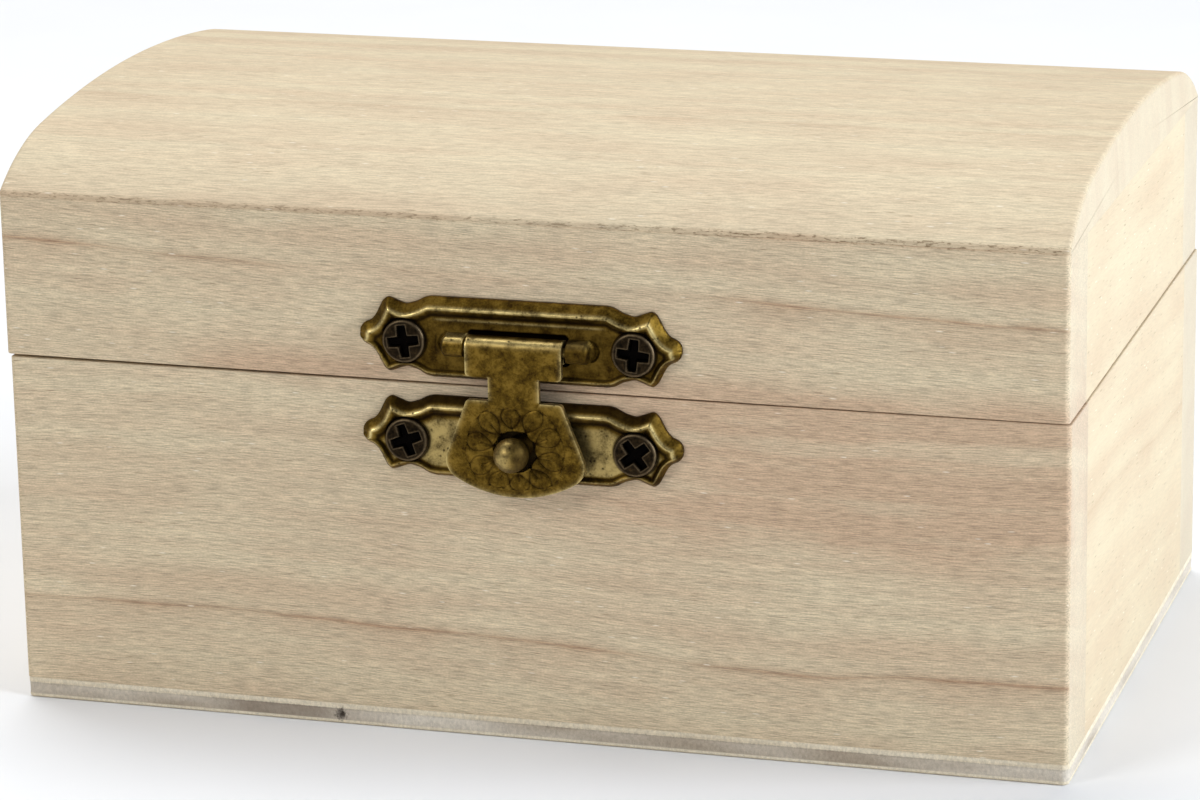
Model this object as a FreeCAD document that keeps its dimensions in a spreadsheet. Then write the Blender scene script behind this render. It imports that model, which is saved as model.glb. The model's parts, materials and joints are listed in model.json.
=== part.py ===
# A small hinged wooden chest: a glued box of thick boards on a plywood bottom, a lid with an
# arched top board, a stamped brass hasp on the front and two brass butt hinges on the rear.
# Millimetres. X runs along the box, Y from the front to the rear, Z up from the table.
import FreeCAD, Part
import math
import os
import Sketcher

# Every size is set here once, as an alias of the sheet, with what it measures.
SIZES = (
    ("box_length", 120, "outside length of base and lid"),
    ("box_depth", 76, "outside depth, from the front face to the rear face"),
    ("base_height", 40, "table to the top of the base walls"),
    ("wall", 9, "thickness of the boards of base and lid"),
    ("bottom_thickness", 2.4, "plywood bottom"),
    ("bottom_corner", 0.8, "radius of the bottom's corners"),
    ("edge_round", 0.6, "sanded upright corners of the long boards"),
    ("seam_gap", 0.2, "open seam between the base and the closed lid"),
    ("lid_frame_height", 18.2, "height of the lid's four rails"),
    ("dome_rise", 7.4, "crest of the top board over its flat underside"),
    ("dome_edge", 0.4, "upright edge of the top board at front and rear"),
    ("dome_crown_radius", 180, "flat middle of the arch"),
    ("dome_shoulder_radius", 26, "rounded front and rear of the arch"),
    ("plate_length", 36.2, "hasp plate, from tip to tip"),
    ("plate_height", 9, "hasp plate, between its straight edges"),
    ("plate_shoulder_span", 20.2, "straight part of the long edges"),
    ("plate_lobe_span", 29.6, "between the lobes left and right"),
    ("plate_lobe_height", 8.4, "between the lobes above and below"),
    ("plate_scallop_radius", 4.5, "hollow between a lobe and the straight edge"),
    ("plate_corner_radius", 0.5, "rounding of tips and lobes"),
    ("plate_sheet", 0.7, "thickness of the plate in its field"),
    ("plate_rim_height", 1.3, "crest of the raised rim over the wood"),
    ("plate_rim_taper", 28, "slope of the rim's flanks, in degrees"),
    ("plate_top_rim", 2.0, "width of the moulded rim along the top"),
    ("plate_side_rim", 1.1, "width of the rim round the ends and the bottom"),
    ("lid_plate_margin", 0.8, "lid's lower edge to the lower edge of the upper plate"),
    ("plate_gap", 2.1, "between the upper and the lower plate"),
    ("plate_screw_span", 25.8, "between the two screws of a plate"),
    ("plate_screw_drop", 0.5, "screws under the plate's middle"),
    ("plate_seat_room", 0.1, "radial room of a screw's head in the rim round it"),
    ("window_width", 12, "window of the upper plate"),
    ("window_above", 1.6, "window's upper edge over the pin"),
    ("window_below", 1.8, "window's lower edge under the pin"),
    ("pin_drop", 0.5, "axis of the flap's pin under the upper plate's middle"),
    ("pin_standoff", 1.7, "front face of the wood to the axis of the flap's pin"),
    ("pin_radius", 0.6, "wire pin of the flap"),
    ("pin_seat_radius", 1.2, "outside of the half-round pin seats"),
    ("pin_seat_length", 2.4, "length of a pin seat"),
    ("pin_seat_wall", 0.5, "closed end of a pin seat"),
    ("pin_fit", 0.03, "radial room of the pin in its seats"),
    ("flap_fit", 0.06, "radial room of the flap's curl on the pin"),
    ("flap_sheet", 0.65, "thickness of the flap"),
    ("flap_block_width", 10.8, "curled top block of the flap"),
    ("flap_block_drop", 2.95, "pin axis to the lower edge of the block"),
    ("flap_neck_width", 5.7, "neck between block and bell"),
    ("flap_bell_above", 5.55, "stud to the shoulders of the bell"),
    ("flap_bell_below", 5.1, "stud to the lowest point of the bell"),
    ("flap_shoulder_width", 10.9, "bell at its shoulders"),
    ("flap_bell_width", 15.6, "bell at its widest"),
    ("flap_bell_corner", 2.2, "lower corners of the bell"),
    ("flap_bottom_radius", 13, "round lower edge of the bell"),
    ("stud_drop", 0.5, "stud under the lower plate's middle"),
    ("stud_head_radius", 1.75, "ball head of the stud"),
    ("stud_reach", 6.2, "front face of the wood to the stud's tip"),
    ("stud_neck_radius", 1.15, "neck of the stud between plate and head"),
    ("stud_shank_radius", 0.9, "shank through the plate into the wood"),
    ("stud_depth", 4, "shank in the wood"),
    ("stud_clearance", 0.6, "radial room of the flap's hole round the stud"),
    ("latch_screw_head_radius", 2.35, "head of a hasp screw"),
    ("latch_screw_head_height", 0.8, "height of that head over the plate"),
    ("latch_screw_shank", 0.95, "shank radius of a hasp screw"),
    ("latch_screw_length", 7, "hasp screw under its head"),
    ("recess_length", 3.3, "cross recess of a hasp screw, across"),
    ("recess_width", 1.1, "arm of that recess"),
    ("recess_depth", 0.65, "depth of that recess"),
    ("hinge_inset", 26, "end of the box to the middle of a hinge"),
    ("hinge_length", 18, "butt hinge along the seam"),
    ("hinge_leaf_height", 9, "pin axis to the edge of a leaf"),
    ("hinge_leaf_corner", 1.2, "rounded corners of a leaf"),
    ("hinge_sheet", 0.8, "thickness of a leaf"),
    ("hinge_knuckle_radius", 1.5, "outside of a knuckle"),
    ("hinge_knuckle_standoff", 0.3, "rear face of the wood to a knuckle"),
    ("hinge_middle_knuckle", 6, "length of the middle knuckle"),
    ("hinge_knuckle_gap", 0.25, "room between a knuckle and what turns past it"),
    ("hinge_pin_radius", 0.7, "pin of a butt hinge"),
    ("hinge_fit", 0.05, "radial room of the knuckles on their pin"),
    ("hinge_screw_span", 10, "between the two screws of a leaf"),
    ("hinge_screw_drop", 5.4, "pin axis to the screws of a leaf"),
    ("hinge_screw_head_radius", 1.6, "head of a hinge screw"),
    ("hinge_screw_head_height", 0.6, "height of that head over the leaf"),
    ("hinge_screw_shank", 0.7, "shank radius of a hinge screw"),
    ("hinge_screw_length", 6, "hinge screw under its head"),
    ("screw_fit", 0.04, "radial room of shanks in their holes"),
    ("pilot_spare", 0.5, "pilot hole past the end of its screw"),
)

# Places that several pieces share, as expressions of the sheet.
FRONT = "-Sizes.box_depth / 2"
REAR = "Sizes.box_depth / 2"
LID_BOTTOM = "(Sizes.base_height + Sizes.seam_gap)"
LID_FRAME_TOP = f"({LID_BOTTOM} + Sizes.lid_frame_height)"
BASE_WALL_HEIGHT = "(Sizes.base_height - Sizes.bottom_thickness)"
END_LENGTH = "(Sizes.box_depth - 2 * Sizes.wall)"
HINGE_AXIS_HEIGHT = "(Sizes.base_height + Sizes.seam_gap / 2)"
HINGE_AXIS_OFF = "(Sizes.hinge_knuckle_radius + Sizes.hinge_knuckle_standoff)"
LID_PLATE_HEIGHT = f"({LID_BOTTOM} + Sizes.lid_plate_margin + Sizes.plate_height / 2)"
BASE_PLATE_HEIGHT = f"({LID_PLATE_HEIGHT} - Sizes.plate_height - Sizes.plate_gap)"
PIN_HEIGHT = f"({LID_PLATE_HEIGHT} - Sizes.pin_drop)"
STUD_HEIGHT = f"({BASE_PLATE_HEIGHT} - Sizes.stud_drop)"
PIN_TO_STUD = f"({PIN_HEIGHT} - {STUD_HEIGHT})"
CURL_BORE = "(Sizes.pin_radius + Sizes.flap_fit)"
CURL_RADIUS = f"({CURL_BORE} + Sizes.flap_sheet)"
PIN_LENGTH = "(Sizes.window_width + 2 * (Sizes.pin_seat_length - Sizes.pin_seat_wall))"
HINGE_BORE = "(Sizes.hinge_pin_radius + Sizes.hinge_fit)"
PLATE_SCREW_X = "Sizes.plate_screw_span / 2"
HINGE_SCREW_X = "Sizes.hinge_screw_span / 2"
HINGE_X = {
    "left": "Sizes.hinge_inset - Sizes.box_length / 2",
    "right": "Sizes.box_length / 2 - Sizes.hinge_inset",
}
HASP_PILOT = "Sizes.latch_screw_length - Sizes.plate_sheet + Sizes.pilot_spare"
HINGE_PILOT = "Sizes.hinge_screw_length - Sizes.hinge_sheet + Sizes.pilot_spare"

doc = FreeCAD.newDocument("WoodenChest")
sheet = doc.addObject("Spreadsheet::Sheet", "Sizes")
for row, (alias, size, meaning) in enumerate(SIZES, 1):
    sheet.set(f"A{row}", meaning)
    sheet.set(f"B{row}", str(size))
    sheet.setAlias(f"B{row}", alias)
doc.recompute()

subparts = []


def number(expression):
    """Value of an expression of the sheet, as a plain number of millimetres or degrees."""
    return float(sheet.evalExpression(expression))


def bind(thing, expressions):
    """Bind properties of a document object to expressions of the sheet."""
    for prop, expression in expressions.items():
        thing.setExpression(prop, expression)


def place(thing, x="0", y="0", z="0", rotation=FreeCAD.Rotation()):
    """Give an object its turn and bind its place to the sheet."""
    thing.Placement = FreeCAD.Placement(FreeCAD.Vector(), rotation)
    bind(thing, {"Placement.Base.x": x, "Placement.Base.y": y, "Placement.Base.z": z})


def subpart(thing, name):
    """Name an object as one separate piece of the chest."""
    thing.Label = name
    subparts.append(thing)
    return thing


def new_body(name):
    """Start a piece that is built from sketches."""
    return subpart(doc.addObject("PartDesign::Body", f"body_{name}"), name)


def new_sketch(body, plane, offset="0"):
    """Start a sketch on one of the body's own planes, moved along its normal."""
    sketch = body.newObject("Sketcher::SketchObject", "Outline")
    support = next(f for f in body.Origin.OriginFeatures if f.Role == plane)
    sketch.AttachmentSupport = [(support, "")]
    sketch.MapMode = "FlatFace"
    sketch.setExpression("AttachmentOffset.Base.z", offset)
    return sketch


def hold(sketch, kind, expression, *geometry):
    """Add a constraint whose value is an expression of the sheet."""
    index = sketch.addConstraint(Sketcher.Constraint(kind, *geometry, number(expression)))
    sketch.setExpression(f"Constraints[{index}]", expression)


def hold_point(sketch, geometry, position, x, y):
    """Hold a point of the sketch at two expressions, measured from the sketch's origin."""
    for kind, expression in (("DistanceX", x), ("DistanceY", y)):
        if expression is not None:
            hold(sketch, kind, expression, -1, 1, geometry, position)


def add_arc(sketch, start, end, radius, outward):
    """Add the shorter arc between two points and say which of its ends is the first."""
    chord = end - start
    left = FreeCAD.Vector(-chord.y, chord.x, 0).normalize()
    rise = math.sqrt(max(radius ** 2 - chord.Length ** 2 / 4, 0))
    centre = (start + end) * 0.5 + left * (rise if outward else -rise)
    first, last = (start, end) if outward else (end, start)
    angles = [math.atan2(p.y - centre.y, p.x - centre.x) for p in (first, last)]
    circle = Part.Circle(centre, FreeCAD.Vector(0, 0, 1), radius)
    index = sketch.addGeometry(Part.ArcOfCircle(circle, *angles))
    return (index, 1, 2) if outward else (index, 2, 1)


def draw_outline(sketch, corners, arcs):
    """Draw a closed outline, anticlockwise, through corners that the sheet places.

    A corner is (x, y); one with a third entry is a smooth joint that starts near x, y.
    arcs maps a side's number to (radius, outward) or (radius, outward, centre x, centre y).
    """
    points = [FreeCAD.Vector(number(c[0]), number(c[1]), 0) for c in corners]
    sides = []
    for side, start in enumerate(points):
        end = points[(side + 1) % len(points)]
        if side in arcs:
            radius, outward = arcs[side][:2]
            sides.append(add_arc(sketch, start, end, number(radius), outward))
            hold(sketch, "Radius", radius, sides[-1][0])
        else:
            sides.append((sketch.addGeometry(Part.LineSegment(start, end)), 1, 2))
    for side, corner in enumerate(corners):
        before, _, before_end = sides[side - 1]
        after, after_start, _ = sides[side]
        joint = "Coincident" if len(corner) == 2 else "Tangent"
        sketch.addConstraint(Sketcher.Constraint(joint, before, before_end, after, after_start))
        if len(corner) == 2:
            hold_point(sketch, after, after_start, *corner)
    for side, arc in arcs.items():
        if len(arc) == 4:
            hold_point(sketch, sides[side][0], 3, *arc[2:])


def draw_circle(sketch, x, y, radius):
    """Draw a circle whose centre and radius the sheet gives."""
    centre = FreeCAD.Vector(number(x), number(y), 0)
    circle = Part.Circle(centre, FreeCAD.Vector(0, 0, 1), number(radius))
    index = sketch.addGeometry(circle)
    hold_point(sketch, index, 3, x, y)
    hold(sketch, "Radius", radius, index)


def mirrored(half):
    """Complete an outline from the corners of its right half, listed anticlockwise."""
    return half + [(f"-({corner[0]})", *corner[1:]) for corner in reversed(half)]


def pad(body, sketch, length, taper="0"):
    """Raise a sketch into a solid; a positive taper draws it in."""
    feature = body.newObject("PartDesign::Pad", "Pad")
    feature.Profile = sketch
    bind(feature, {"Length": length, "TaperAngle": f"-({taper})"})
    doc.recompute()
    return feature


def pocket(body, sketch, depth, taper="0"):
    """Sink a sketch into the solid against the sketch's normal, and test that it cut."""
    before = body.Shape.Volume
    feature = body.newObject("PartDesign::Pocket", "Pocket")
    feature.Profile = sketch
    bind(feature, {"Length": depth, "TaperAngle": f"-({taper})"})
    doc.recompute()
    if not body.Shape.Volume < before:
        raise RuntimeError(f"a pocket of {body.Label} cuts nothing")
    return feature


def revolve(body, sketch):
    """Turn a sketch once round its own horizontal axis."""
    feature = body.newObject("PartDesign::Revolution", "Revolution")
    feature.Profile = sketch
    feature.ReferenceAxis = (sketch, ["H_Axis"])
    feature.Angle = 360
    doc.recompute()
    return feature


def pilot_holes(body, places, radius, depth):
    """Drill holes into the outside face of a wall, at x along it and z over its foot."""
    sketch = new_sketch(body, "XZ_Plane")
    for x, z in places:
        draw_circle(sketch, x, z, f"{radius} + Sizes.screw_fit")
    pocket(body, sketch, depth)


def long_board(name, height, foot, rear=False):
    """Full-length board whose outside face is its local Y = 0, with sanded upright corners."""
    body = new_body(name)
    half = "Sizes.box_length / 2"
    right = [
        (f"{half} - Sizes.edge_round", "0"),
        (half, "Sizes.edge_round"),
        (half, "Sizes.wall"),
    ]
    corners = mirrored(right)
    sketch = new_sketch(body, "XY_Plane")
    draw_outline(sketch, corners, {0: ("Sizes.edge_round", True), 4: ("Sizes.edge_round", True)})
    pad(body, sketch, height)
    turn = FreeCAD.Rotation(FreeCAD.Vector(0, 0, 1), 180 if rear else 0)
    place(body, y=REAR if rear else FRONT, z=foot, rotation=turn)
    return body


def end_board(name, height, foot, side):
    """Board between the two long ones, flush with their ends; side is 1 right, -1 left."""
    box = subpart(doc.addObject("Part::Box", f"board_{name}"), name)
    bind(box, {"Length": "Sizes.wall", "Width": END_LENGTH, "Height": height})
    inner = "Sizes.box_length / 2 - Sizes.wall"
    outer = "-Sizes.box_length / 2"
    place(box, inner if side > 0 else outer, f"-{END_LENGTH} / 2", foot)


def bottom_panel():
    """Plywood sheet under all four walls, flush with them."""
    body = new_body("bottom_panel")
    half_x = "Sizes.box_length / 2"
    half_y = "Sizes.box_depth / 2"
    right = [
        (f"{half_x} - Sizes.bottom_corner", f"-{half_y}"),
        (half_x, f"-{half_y} + Sizes.bottom_corner"),
        (half_x, f"{half_y} - Sizes.bottom_corner"),
        (f"{half_x} - Sizes.bottom_corner", half_y),
    ]
    sketch = new_sketch(body, "XY_Plane")
    rounds = {side: ("Sizes.bottom_corner", True) for side in (0, 2, 4, 6)}
    draw_outline(sketch, mirrored(right), rounds)
    pad(body, sketch, "Sizes.bottom_thickness")
    place(body)


def lid_top():
    """Top board: flat underside, arched top of a flat crown between two tighter shoulders."""
    body = new_body("lid_top")
    half = number("Sizes.box_depth / 2")
    crown = number("Sizes.dome_crown_radius")
    shoulder = number("Sizes.dome_shoulder_radius")
    rise = number("Sizes.dome_rise")
    # The crown and a shoulder touch on the line through both their centres.
    reach = math.hypot(half, crown - rise + number("Sizes.dome_edge"))
    apart = crown - shoulder
    cosine = (reach ** 2 + apart ** 2 - shoulder ** 2) / (2 * apart * reach)
    lean = math.asin(half / reach) - math.acos(min(cosine, 1))
    joint_y = crown * math.sin(lean)
    joint_z = rise - crown + crown * math.cos(lean)
    right = [
        ("Sizes.box_depth / 2", "0"),
        ("Sizes.box_depth / 2", "Sizes.dome_edge"),
        (f"{joint_y}", f"{joint_z}", "smooth"),
    ]
    arcs = {
        1: ("Sizes.dome_shoulder_radius", True),
        2: ("Sizes.dome_crown_radius", True, "0", "Sizes.dome_rise - Sizes.dome_crown_radius"),
        3: ("Sizes.dome_shoulder_radius", True),
    }
    sketch = new_sketch(body, "YZ_Plane", "-Sizes.box_length / 2")
    draw_outline(sketch, mirrored(right), arcs)
    pad(body, sketch, "Sizes.box_length")
    place(body, z=LID_FRAME_TOP)


def plate_corners(side_inset, top_inset):
    """Scalloped outline of a hasp plate round its middle, drawn in at the sides and the top."""
    tip = (f"Sizes.plate_length / 2 - {side_inset}", "0")
    lobe_x = f"Sizes.plate_lobe_span / 2 - {side_inset} / 2"
    shoulder_x = f"Sizes.plate_shoulder_span / 2 - {side_inset} / 4"
    lobe_top = f"Sizes.plate_lobe_height / 2 - {top_inset}"
    shoulder_top = f"Sizes.plate_height / 2 - {top_inset}"
    lobe_foot = f"-Sizes.plate_lobe_height / 2 + {side_inset}"
    shoulder_foot = f"-Sizes.plate_height / 2 + {side_inset}"
    right = [
        (shoulder_x, shoulder_foot),
        (lobe_x, lobe_foot),
        tip,
        (lobe_x, lobe_top),
        (shoulder_x, shoulder_top),
    ]
    return mirrored(right)


def hasp_plate(name, height):
    """Stamped plate on the front: raised rim with sloping flanks round a sunk field."""
    body = new_body(name)
    scallops = {side: ("Sizes.plate_scallop_radius", False) for side in (0, 3, 5, 8)}
    blank = new_sketch(body, "XZ_Plane")
    draw_outline(blank, plate_corners("0", "0"), scallops)
    raised = pad(body, blank, "Sizes.plate_rim_height", "Sizes.plate_rim_taper")
    # The slanting edges at tips and lobes run from the wood to the crest.
    beyond = number("Sizes.plate_shoulder_span + Sizes.plate_lobe_span") / 4
    edges = [
        f"Edge{index}"
        for index, edge in enumerate(raised.Shape.Edges, 1)
        if edge.BoundBox.YLength > number("Sizes.plate_rim_height") / 2
        and abs(edge.CenterOfMass.x) > beyond
    ]
    rounding = body.newObject("PartDesign::Fillet", "Rounding")
    rounding.Base = (raised, edges)
    rounding.setExpression("Radius", "Sizes.plate_corner_radius")
    doc.recompute()
    field = new_sketch(body, "XZ_Plane", "Sizes.plate_rim_height")
    draw_outline(field, plate_corners("Sizes.plate_side_rim", "Sizes.plate_top_rim"), scallops)
    field_depth = "Sizes.plate_rim_height - Sizes.plate_sheet"
    pocket(body, field, field_depth, "Sizes.plate_rim_taper")
    seat_radius = "Sizes.latch_screw_head_radius + Sizes.plate_seat_room"
    hole_radius = "Sizes.latch_screw_shank + Sizes.screw_fit"
    for radius, depth in ((seat_radius, field_depth), (hole_radius, "Sizes.plate_rim_height")):
        circles = new_sketch(body, "XZ_Plane", "Sizes.plate_rim_height")
        for side in ("", "-"):
            draw_circle(circles, f"{side}{PLATE_SCREW_X}", "-Sizes.plate_screw_drop", radius)
        pocket(body, circles, depth)
    place(body, y=FRONT, z=height)
    return body


def latch_lid_plate():
    """Upper plate: a window for the flap's curl, and a pin seat on each side of it."""
    body = hasp_plate("latch_lid_plate", LID_PLATE_HEIGHT)
    pin_z = "-Sizes.pin_drop"
    half = "Sizes.window_width / 2"
    right = [
        (half, f"{pin_z} - Sizes.window_below"),
        (half, f"{pin_z} + Sizes.window_above"),
    ]
    window = new_sketch(body, "XZ_Plane", "Sizes.plate_rim_height")
    draw_outline(window, mirrored(right), {})
    pocket(body, window, "Sizes.plate_rim_height")
    for start in (half, f"-{half} - Sizes.pin_seat_length"):
        seat = new_sketch(body, "YZ_Plane", start)
        draw_circle(seat, "-Sizes.pin_standoff", pin_z, "Sizes.pin_seat_radius")
        pad(body, seat, "Sizes.pin_seat_length")
    bore = new_sketch(body, "YZ_Plane", f"{PIN_LENGTH} / 2")
    draw_circle(bore, "-Sizes.pin_standoff", pin_z, "Sizes.pin_radius + Sizes.pin_fit")
    pocket(body, bore, PIN_LENGTH)


def latch_base_plate():
    """Lower plate: the same stamping with a hole for the stud."""
    body = hasp_plate("latch_base_plate", BASE_PLATE_HEIGHT)
    hole = new_sketch(body, "XZ_Plane", "Sizes.plate_rim_height")
    draw_circle(hole, "0", "-Sizes.stud_drop", "Sizes.stud_shank_radius + Sizes.screw_fit")
    pocket(body, hole, "Sizes.plate_rim_height")


def wire(name, radius, length, x, y, z):
    """Straight round wire along X, centred on x."""
    rod = subpart(doc.addObject("Part::Cylinder", f"wire_{name}"), name)
    bind(rod, {"Radius": radius, "Height": length})
    along_x = FreeCAD.Rotation(FreeCAD.Vector(0, 1, 0), 90)
    place(rod, f"{x} - {length} / 2", y, z, along_x)


def latch_flap():
    """Flap of the hasp: sheet curled round the pin, block, neck and bell with a hole."""
    body = new_body("latch_flap")
    block = "Sizes.flap_block_width / 2"
    neck = "Sizes.flap_neck_width / 2"
    shoulder = "Sizes.flap_shoulder_width / 2"
    neck_foot = f"Sizes.flap_bell_above - {PIN_TO_STUD}"
    bottom_centre = f"Sizes.flap_bottom_radius - Sizes.flap_bell_below - {PIN_TO_STUD}"
    corner_x = "(Sizes.flap_bell_width / 2 - Sizes.flap_bell_corner)"
    # The corner's arc lies inside the bottom arc and touches it.
    inside = "(Sizes.flap_bottom_radius - Sizes.flap_bell_corner)"
    corner_z = f"({bottom_centre} - sqrt({inside}^2 - {corner_x}^2))"
    touch = f"(Sizes.flap_bottom_radius / {inside})"
    right = [
        (f"{corner_x} * {touch}", f"{bottom_centre} + ({corner_z} - ({bottom_centre})) * {touch}", "smooth"),
        ("Sizes.flap_bell_width / 2", corner_z, "smooth"),
        (shoulder, neck_foot),
        (neck, neck_foot),
        (neck, "-Sizes.flap_block_drop"),
        (block, "-Sizes.flap_block_drop"),
        (block, "0"),
    ]
    last = 2 * len(right) - 1
    arcs = {
        0: ("Sizes.flap_bell_corner", True, corner_x, None),
        last - 1: ("Sizes.flap_bell_corner", True, f"-{corner_x}", None),
        last: ("Sizes.flap_bottom_radius", True, "0", bottom_centre),
    }
    outline = new_sketch(body, "XZ_Plane", f"{CURL_RADIUS} - Sizes.flap_sheet")
    draw_outline(outline, mirrored(right), arcs)
    pad(body, outline, "Sizes.flap_sheet")
    curl = new_sketch(body, "YZ_Plane", f"-{block}")
    draw_circle(curl, "0", "0", CURL_RADIUS)
    pad(body, curl, "Sizes.flap_block_width")
    bore = new_sketch(body, "YZ_Plane", block)
    draw_circle(bore, "0", "0", CURL_BORE)
    pocket(body, bore, "Sizes.flap_block_width")
    hole = new_sketch(body, "XZ_Plane", CURL_RADIUS)
    draw_circle(hole, "0", f"-{PIN_TO_STUD}", "Sizes.stud_head_radius + Sizes.stud_clearance")
    pocket(body, hole, "Sizes.flap_sheet")
    place(body, y=f"{FRONT} - Sizes.pin_standoff", z=PIN_HEIGHT)


def latch_stud():
    """Turned stud: shank in the wood, neck over the plate, ball head through the flap."""
    body = new_body("latch_stud")
    ball = "(Sizes.stud_reach - Sizes.stud_head_radius)"
    neck_end = f"-{ball} + sqrt(Sizes.stud_head_radius^2 - Sizes.stud_neck_radius^2)"
    corners = [
        ("Sizes.stud_depth", "0"),
        ("Sizes.stud_depth", "Sizes.stud_shank_radius"),
        ("-Sizes.plate_sheet", "Sizes.stud_shank_radius"),
        ("-Sizes.plate_sheet", "Sizes.stud_neck_radius"),
        (neck_end, "Sizes.stud_neck_radius"),
        ("-Sizes.stud_reach", "0"),
    ]
    profile = new_sketch(body, "YZ_Plane")
    draw_outline(profile, corners, {4: ("Sizes.stud_head_radius", True)})
    revolve(body, profile)
    place(body, y=FRONT, z=STUD_HEIGHT)


def screw(family):
    """One screw along local Y with a flat round head, whose seat is local Y = 0."""
    body = doc.addObject("PartDesign::Body", f"{family}_screw")
    head = f"Sizes.{family}_screw_head_radius"
    height = f"Sizes.{family}_screw_head_height"
    shank = f"Sizes.{family}_screw_shank"
    length = f"Sizes.{family}_screw_length"
    corners = [
        (length, "0"),
        (length, shank),
        ("0", shank),
        ("0", head),
        (f"-{height}", head),
        (f"-{height}", "0"),
    ]
    profile = new_sketch(body, "YZ_Plane")
    draw_outline(profile, corners, {})
    revolve(body, profile)
    return body


def hasp_screw():
    """Screw of the hasp, with a cross recess in its head."""
    body = screw("latch")
    reach = "Sizes.recess_length / 2"
    arm = "Sizes.recess_width / 2"
    right = [
        (arm, f"-{reach}"),
        (arm, f"-{arm}"),
        (reach, f"-{arm}"),
        (reach, arm),
        (arm, arm),
        (arm, reach),
    ]
    cross = new_sketch(body, "XZ_Plane", "Sizes.latch_screw_head_height")
    draw_outline(cross, mirrored(right), {})
    pocket(body, cross, "Sizes.recess_depth")
    return body


def screw_group(name, one, places, rear=False):
    """Copies of one screw as one node; each place is x, y, z and the turn it stopped at."""
    group = subpart(doc.addObject("Part::Compound", f"group_{name}"), name)
    copies = []
    for x, y, z, turn in places:
        copy = doc.addObject("App::Link", f"copy_{name}")
        copy.LinkedObject = one
        about_axis = FreeCAD.Rotation(FreeCAD.Vector(0, 1, 0), turn)
        facing = FreeCAD.Rotation(FreeCAD.Vector(0, 0, 1), 180 if rear else 0)
        place(copy, x, y, z, facing.multiply(about_axis))
        copies.append(copy)
    group.Links = copies


def hinge_leaf(name, x, up):
    """Leaf of a butt hinge on the rear face; up is 1 on the lid and -1 on the base.

    The base's leaf carries the middle knuckle, the lid's leaf the two outer ones.
    """
    body = new_body(name)
    half = "Sizes.hinge_length / 2"
    middle = "Sizes.hinge_middle_knuckle / 2"
    passing = "(Sizes.hinge_knuckle_radius + Sizes.hinge_knuckle_gap)"
    if up > 0:
        inner = f"({middle} + Sizes.hinge_knuckle_gap)"
        foot = [(inner, passing), (inner, "Sizes.seam_gap"), (half, "Sizes.seam_gap")]
        knuckles = [(inner, f"{half} - {inner}"), (f"-{half}", f"{half} - {inner}")]
    else:
        foot = [(middle, "Sizes.seam_gap"), (middle, passing), (half, passing)]
        knuckles = [(f"-{middle}", "Sizes.hinge_middle_knuckle")]
    far = "Sizes.hinge_leaf_height"
    corner = "Sizes.hinge_leaf_corner"
    right = foot + [(half, f"{far} - {corner}"), (f"{half} - {corner}", far)]
    slab = new_sketch(body, "XZ_Plane", f"{HINGE_AXIS_OFF} - Sizes.hinge_sheet")
    draw_outline(slab, mirrored(right), {3: (corner, True), 5: (corner, True)})
    pad(body, slab, "Sizes.hinge_sheet")
    for start, length in knuckles:
        ring = new_sketch(body, "YZ_Plane", start)
        draw_circle(ring, "0", "0", "Sizes.hinge_knuckle_radius")
        draw_circle(ring, "0", "0", HINGE_BORE)
        pad(body, ring, length)
    holes = new_sketch(body, "XZ_Plane", HINGE_AXIS_OFF)
    for side in ("", "-"):
        hole_radius = "Sizes.hinge_screw_shank + Sizes.screw_fit"
        draw_circle(holes, f"{side}{HINGE_SCREW_X}", "Sizes.hinge_screw_drop", hole_radius)
    pocket(body, holes, "Sizes.hinge_sheet")
    upright = FreeCAD.Rotation(FreeCAD.Vector(0, 1, 0), 0 if up > 0 else 180)
    place(body, x, f"{REAR} + {HINGE_AXIS_OFF}", HINGE_AXIS_HEIGHT, upright)


def hasp_screw_places(plate_height, foot="0"):
    """The two screws of a hasp plate: x, and height over a board's foot."""
    height = f"{plate_height} - Sizes.plate_screw_drop - {foot}"
    return [(PLATE_SCREW_X, height), (f"-{PLATE_SCREW_X}", height)]


def hinge_screw_places(up, foot="0"):
    """The four screws that hold both hinges to one board: x, and height over its foot."""
    height = f"{HINGE_AXIS_HEIGHT} {up} Sizes.hinge_screw_drop - {foot}"
    return [(f"{x} {side} {HINGE_SCREW_X}", height) for x in HINGE_X.values() for side in "+-"]


def seats(places, y, turns):
    """Screw seats on a face at y, each with the turn its screw stopped at."""
    return [(x, y, z, turn) for (x, z), turn in zip(places, turns)]


def base():
    """Four glued boards on the plywood bottom, drilled for hasp and hinges."""
    foot = "Sizes.bottom_thickness"
    bottom_panel()
    front = long_board("base_front_wall", BASE_WALL_HEIGHT, foot)
    screws = hasp_screw_places(BASE_PLATE_HEIGHT, foot)
    pilot_holes(front, screws, "Sizes.latch_screw_shank", HASP_PILOT)
    stud = [("0", f"{STUD_HEIGHT} - {foot}")]
    pilot_holes(front, stud, "Sizes.stud_shank_radius", "Sizes.stud_depth + Sizes.pilot_spare")
    rear = long_board("base_rear_wall", BASE_WALL_HEIGHT, foot, rear=True)
    pilot_holes(rear, hinge_screw_places("-", foot), "Sizes.hinge_screw_shank", HINGE_PILOT)
    end_board("base_left_end", BASE_WALL_HEIGHT, foot, -1)
    end_board("base_right_end", BASE_WALL_HEIGHT, foot, 1)


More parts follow.
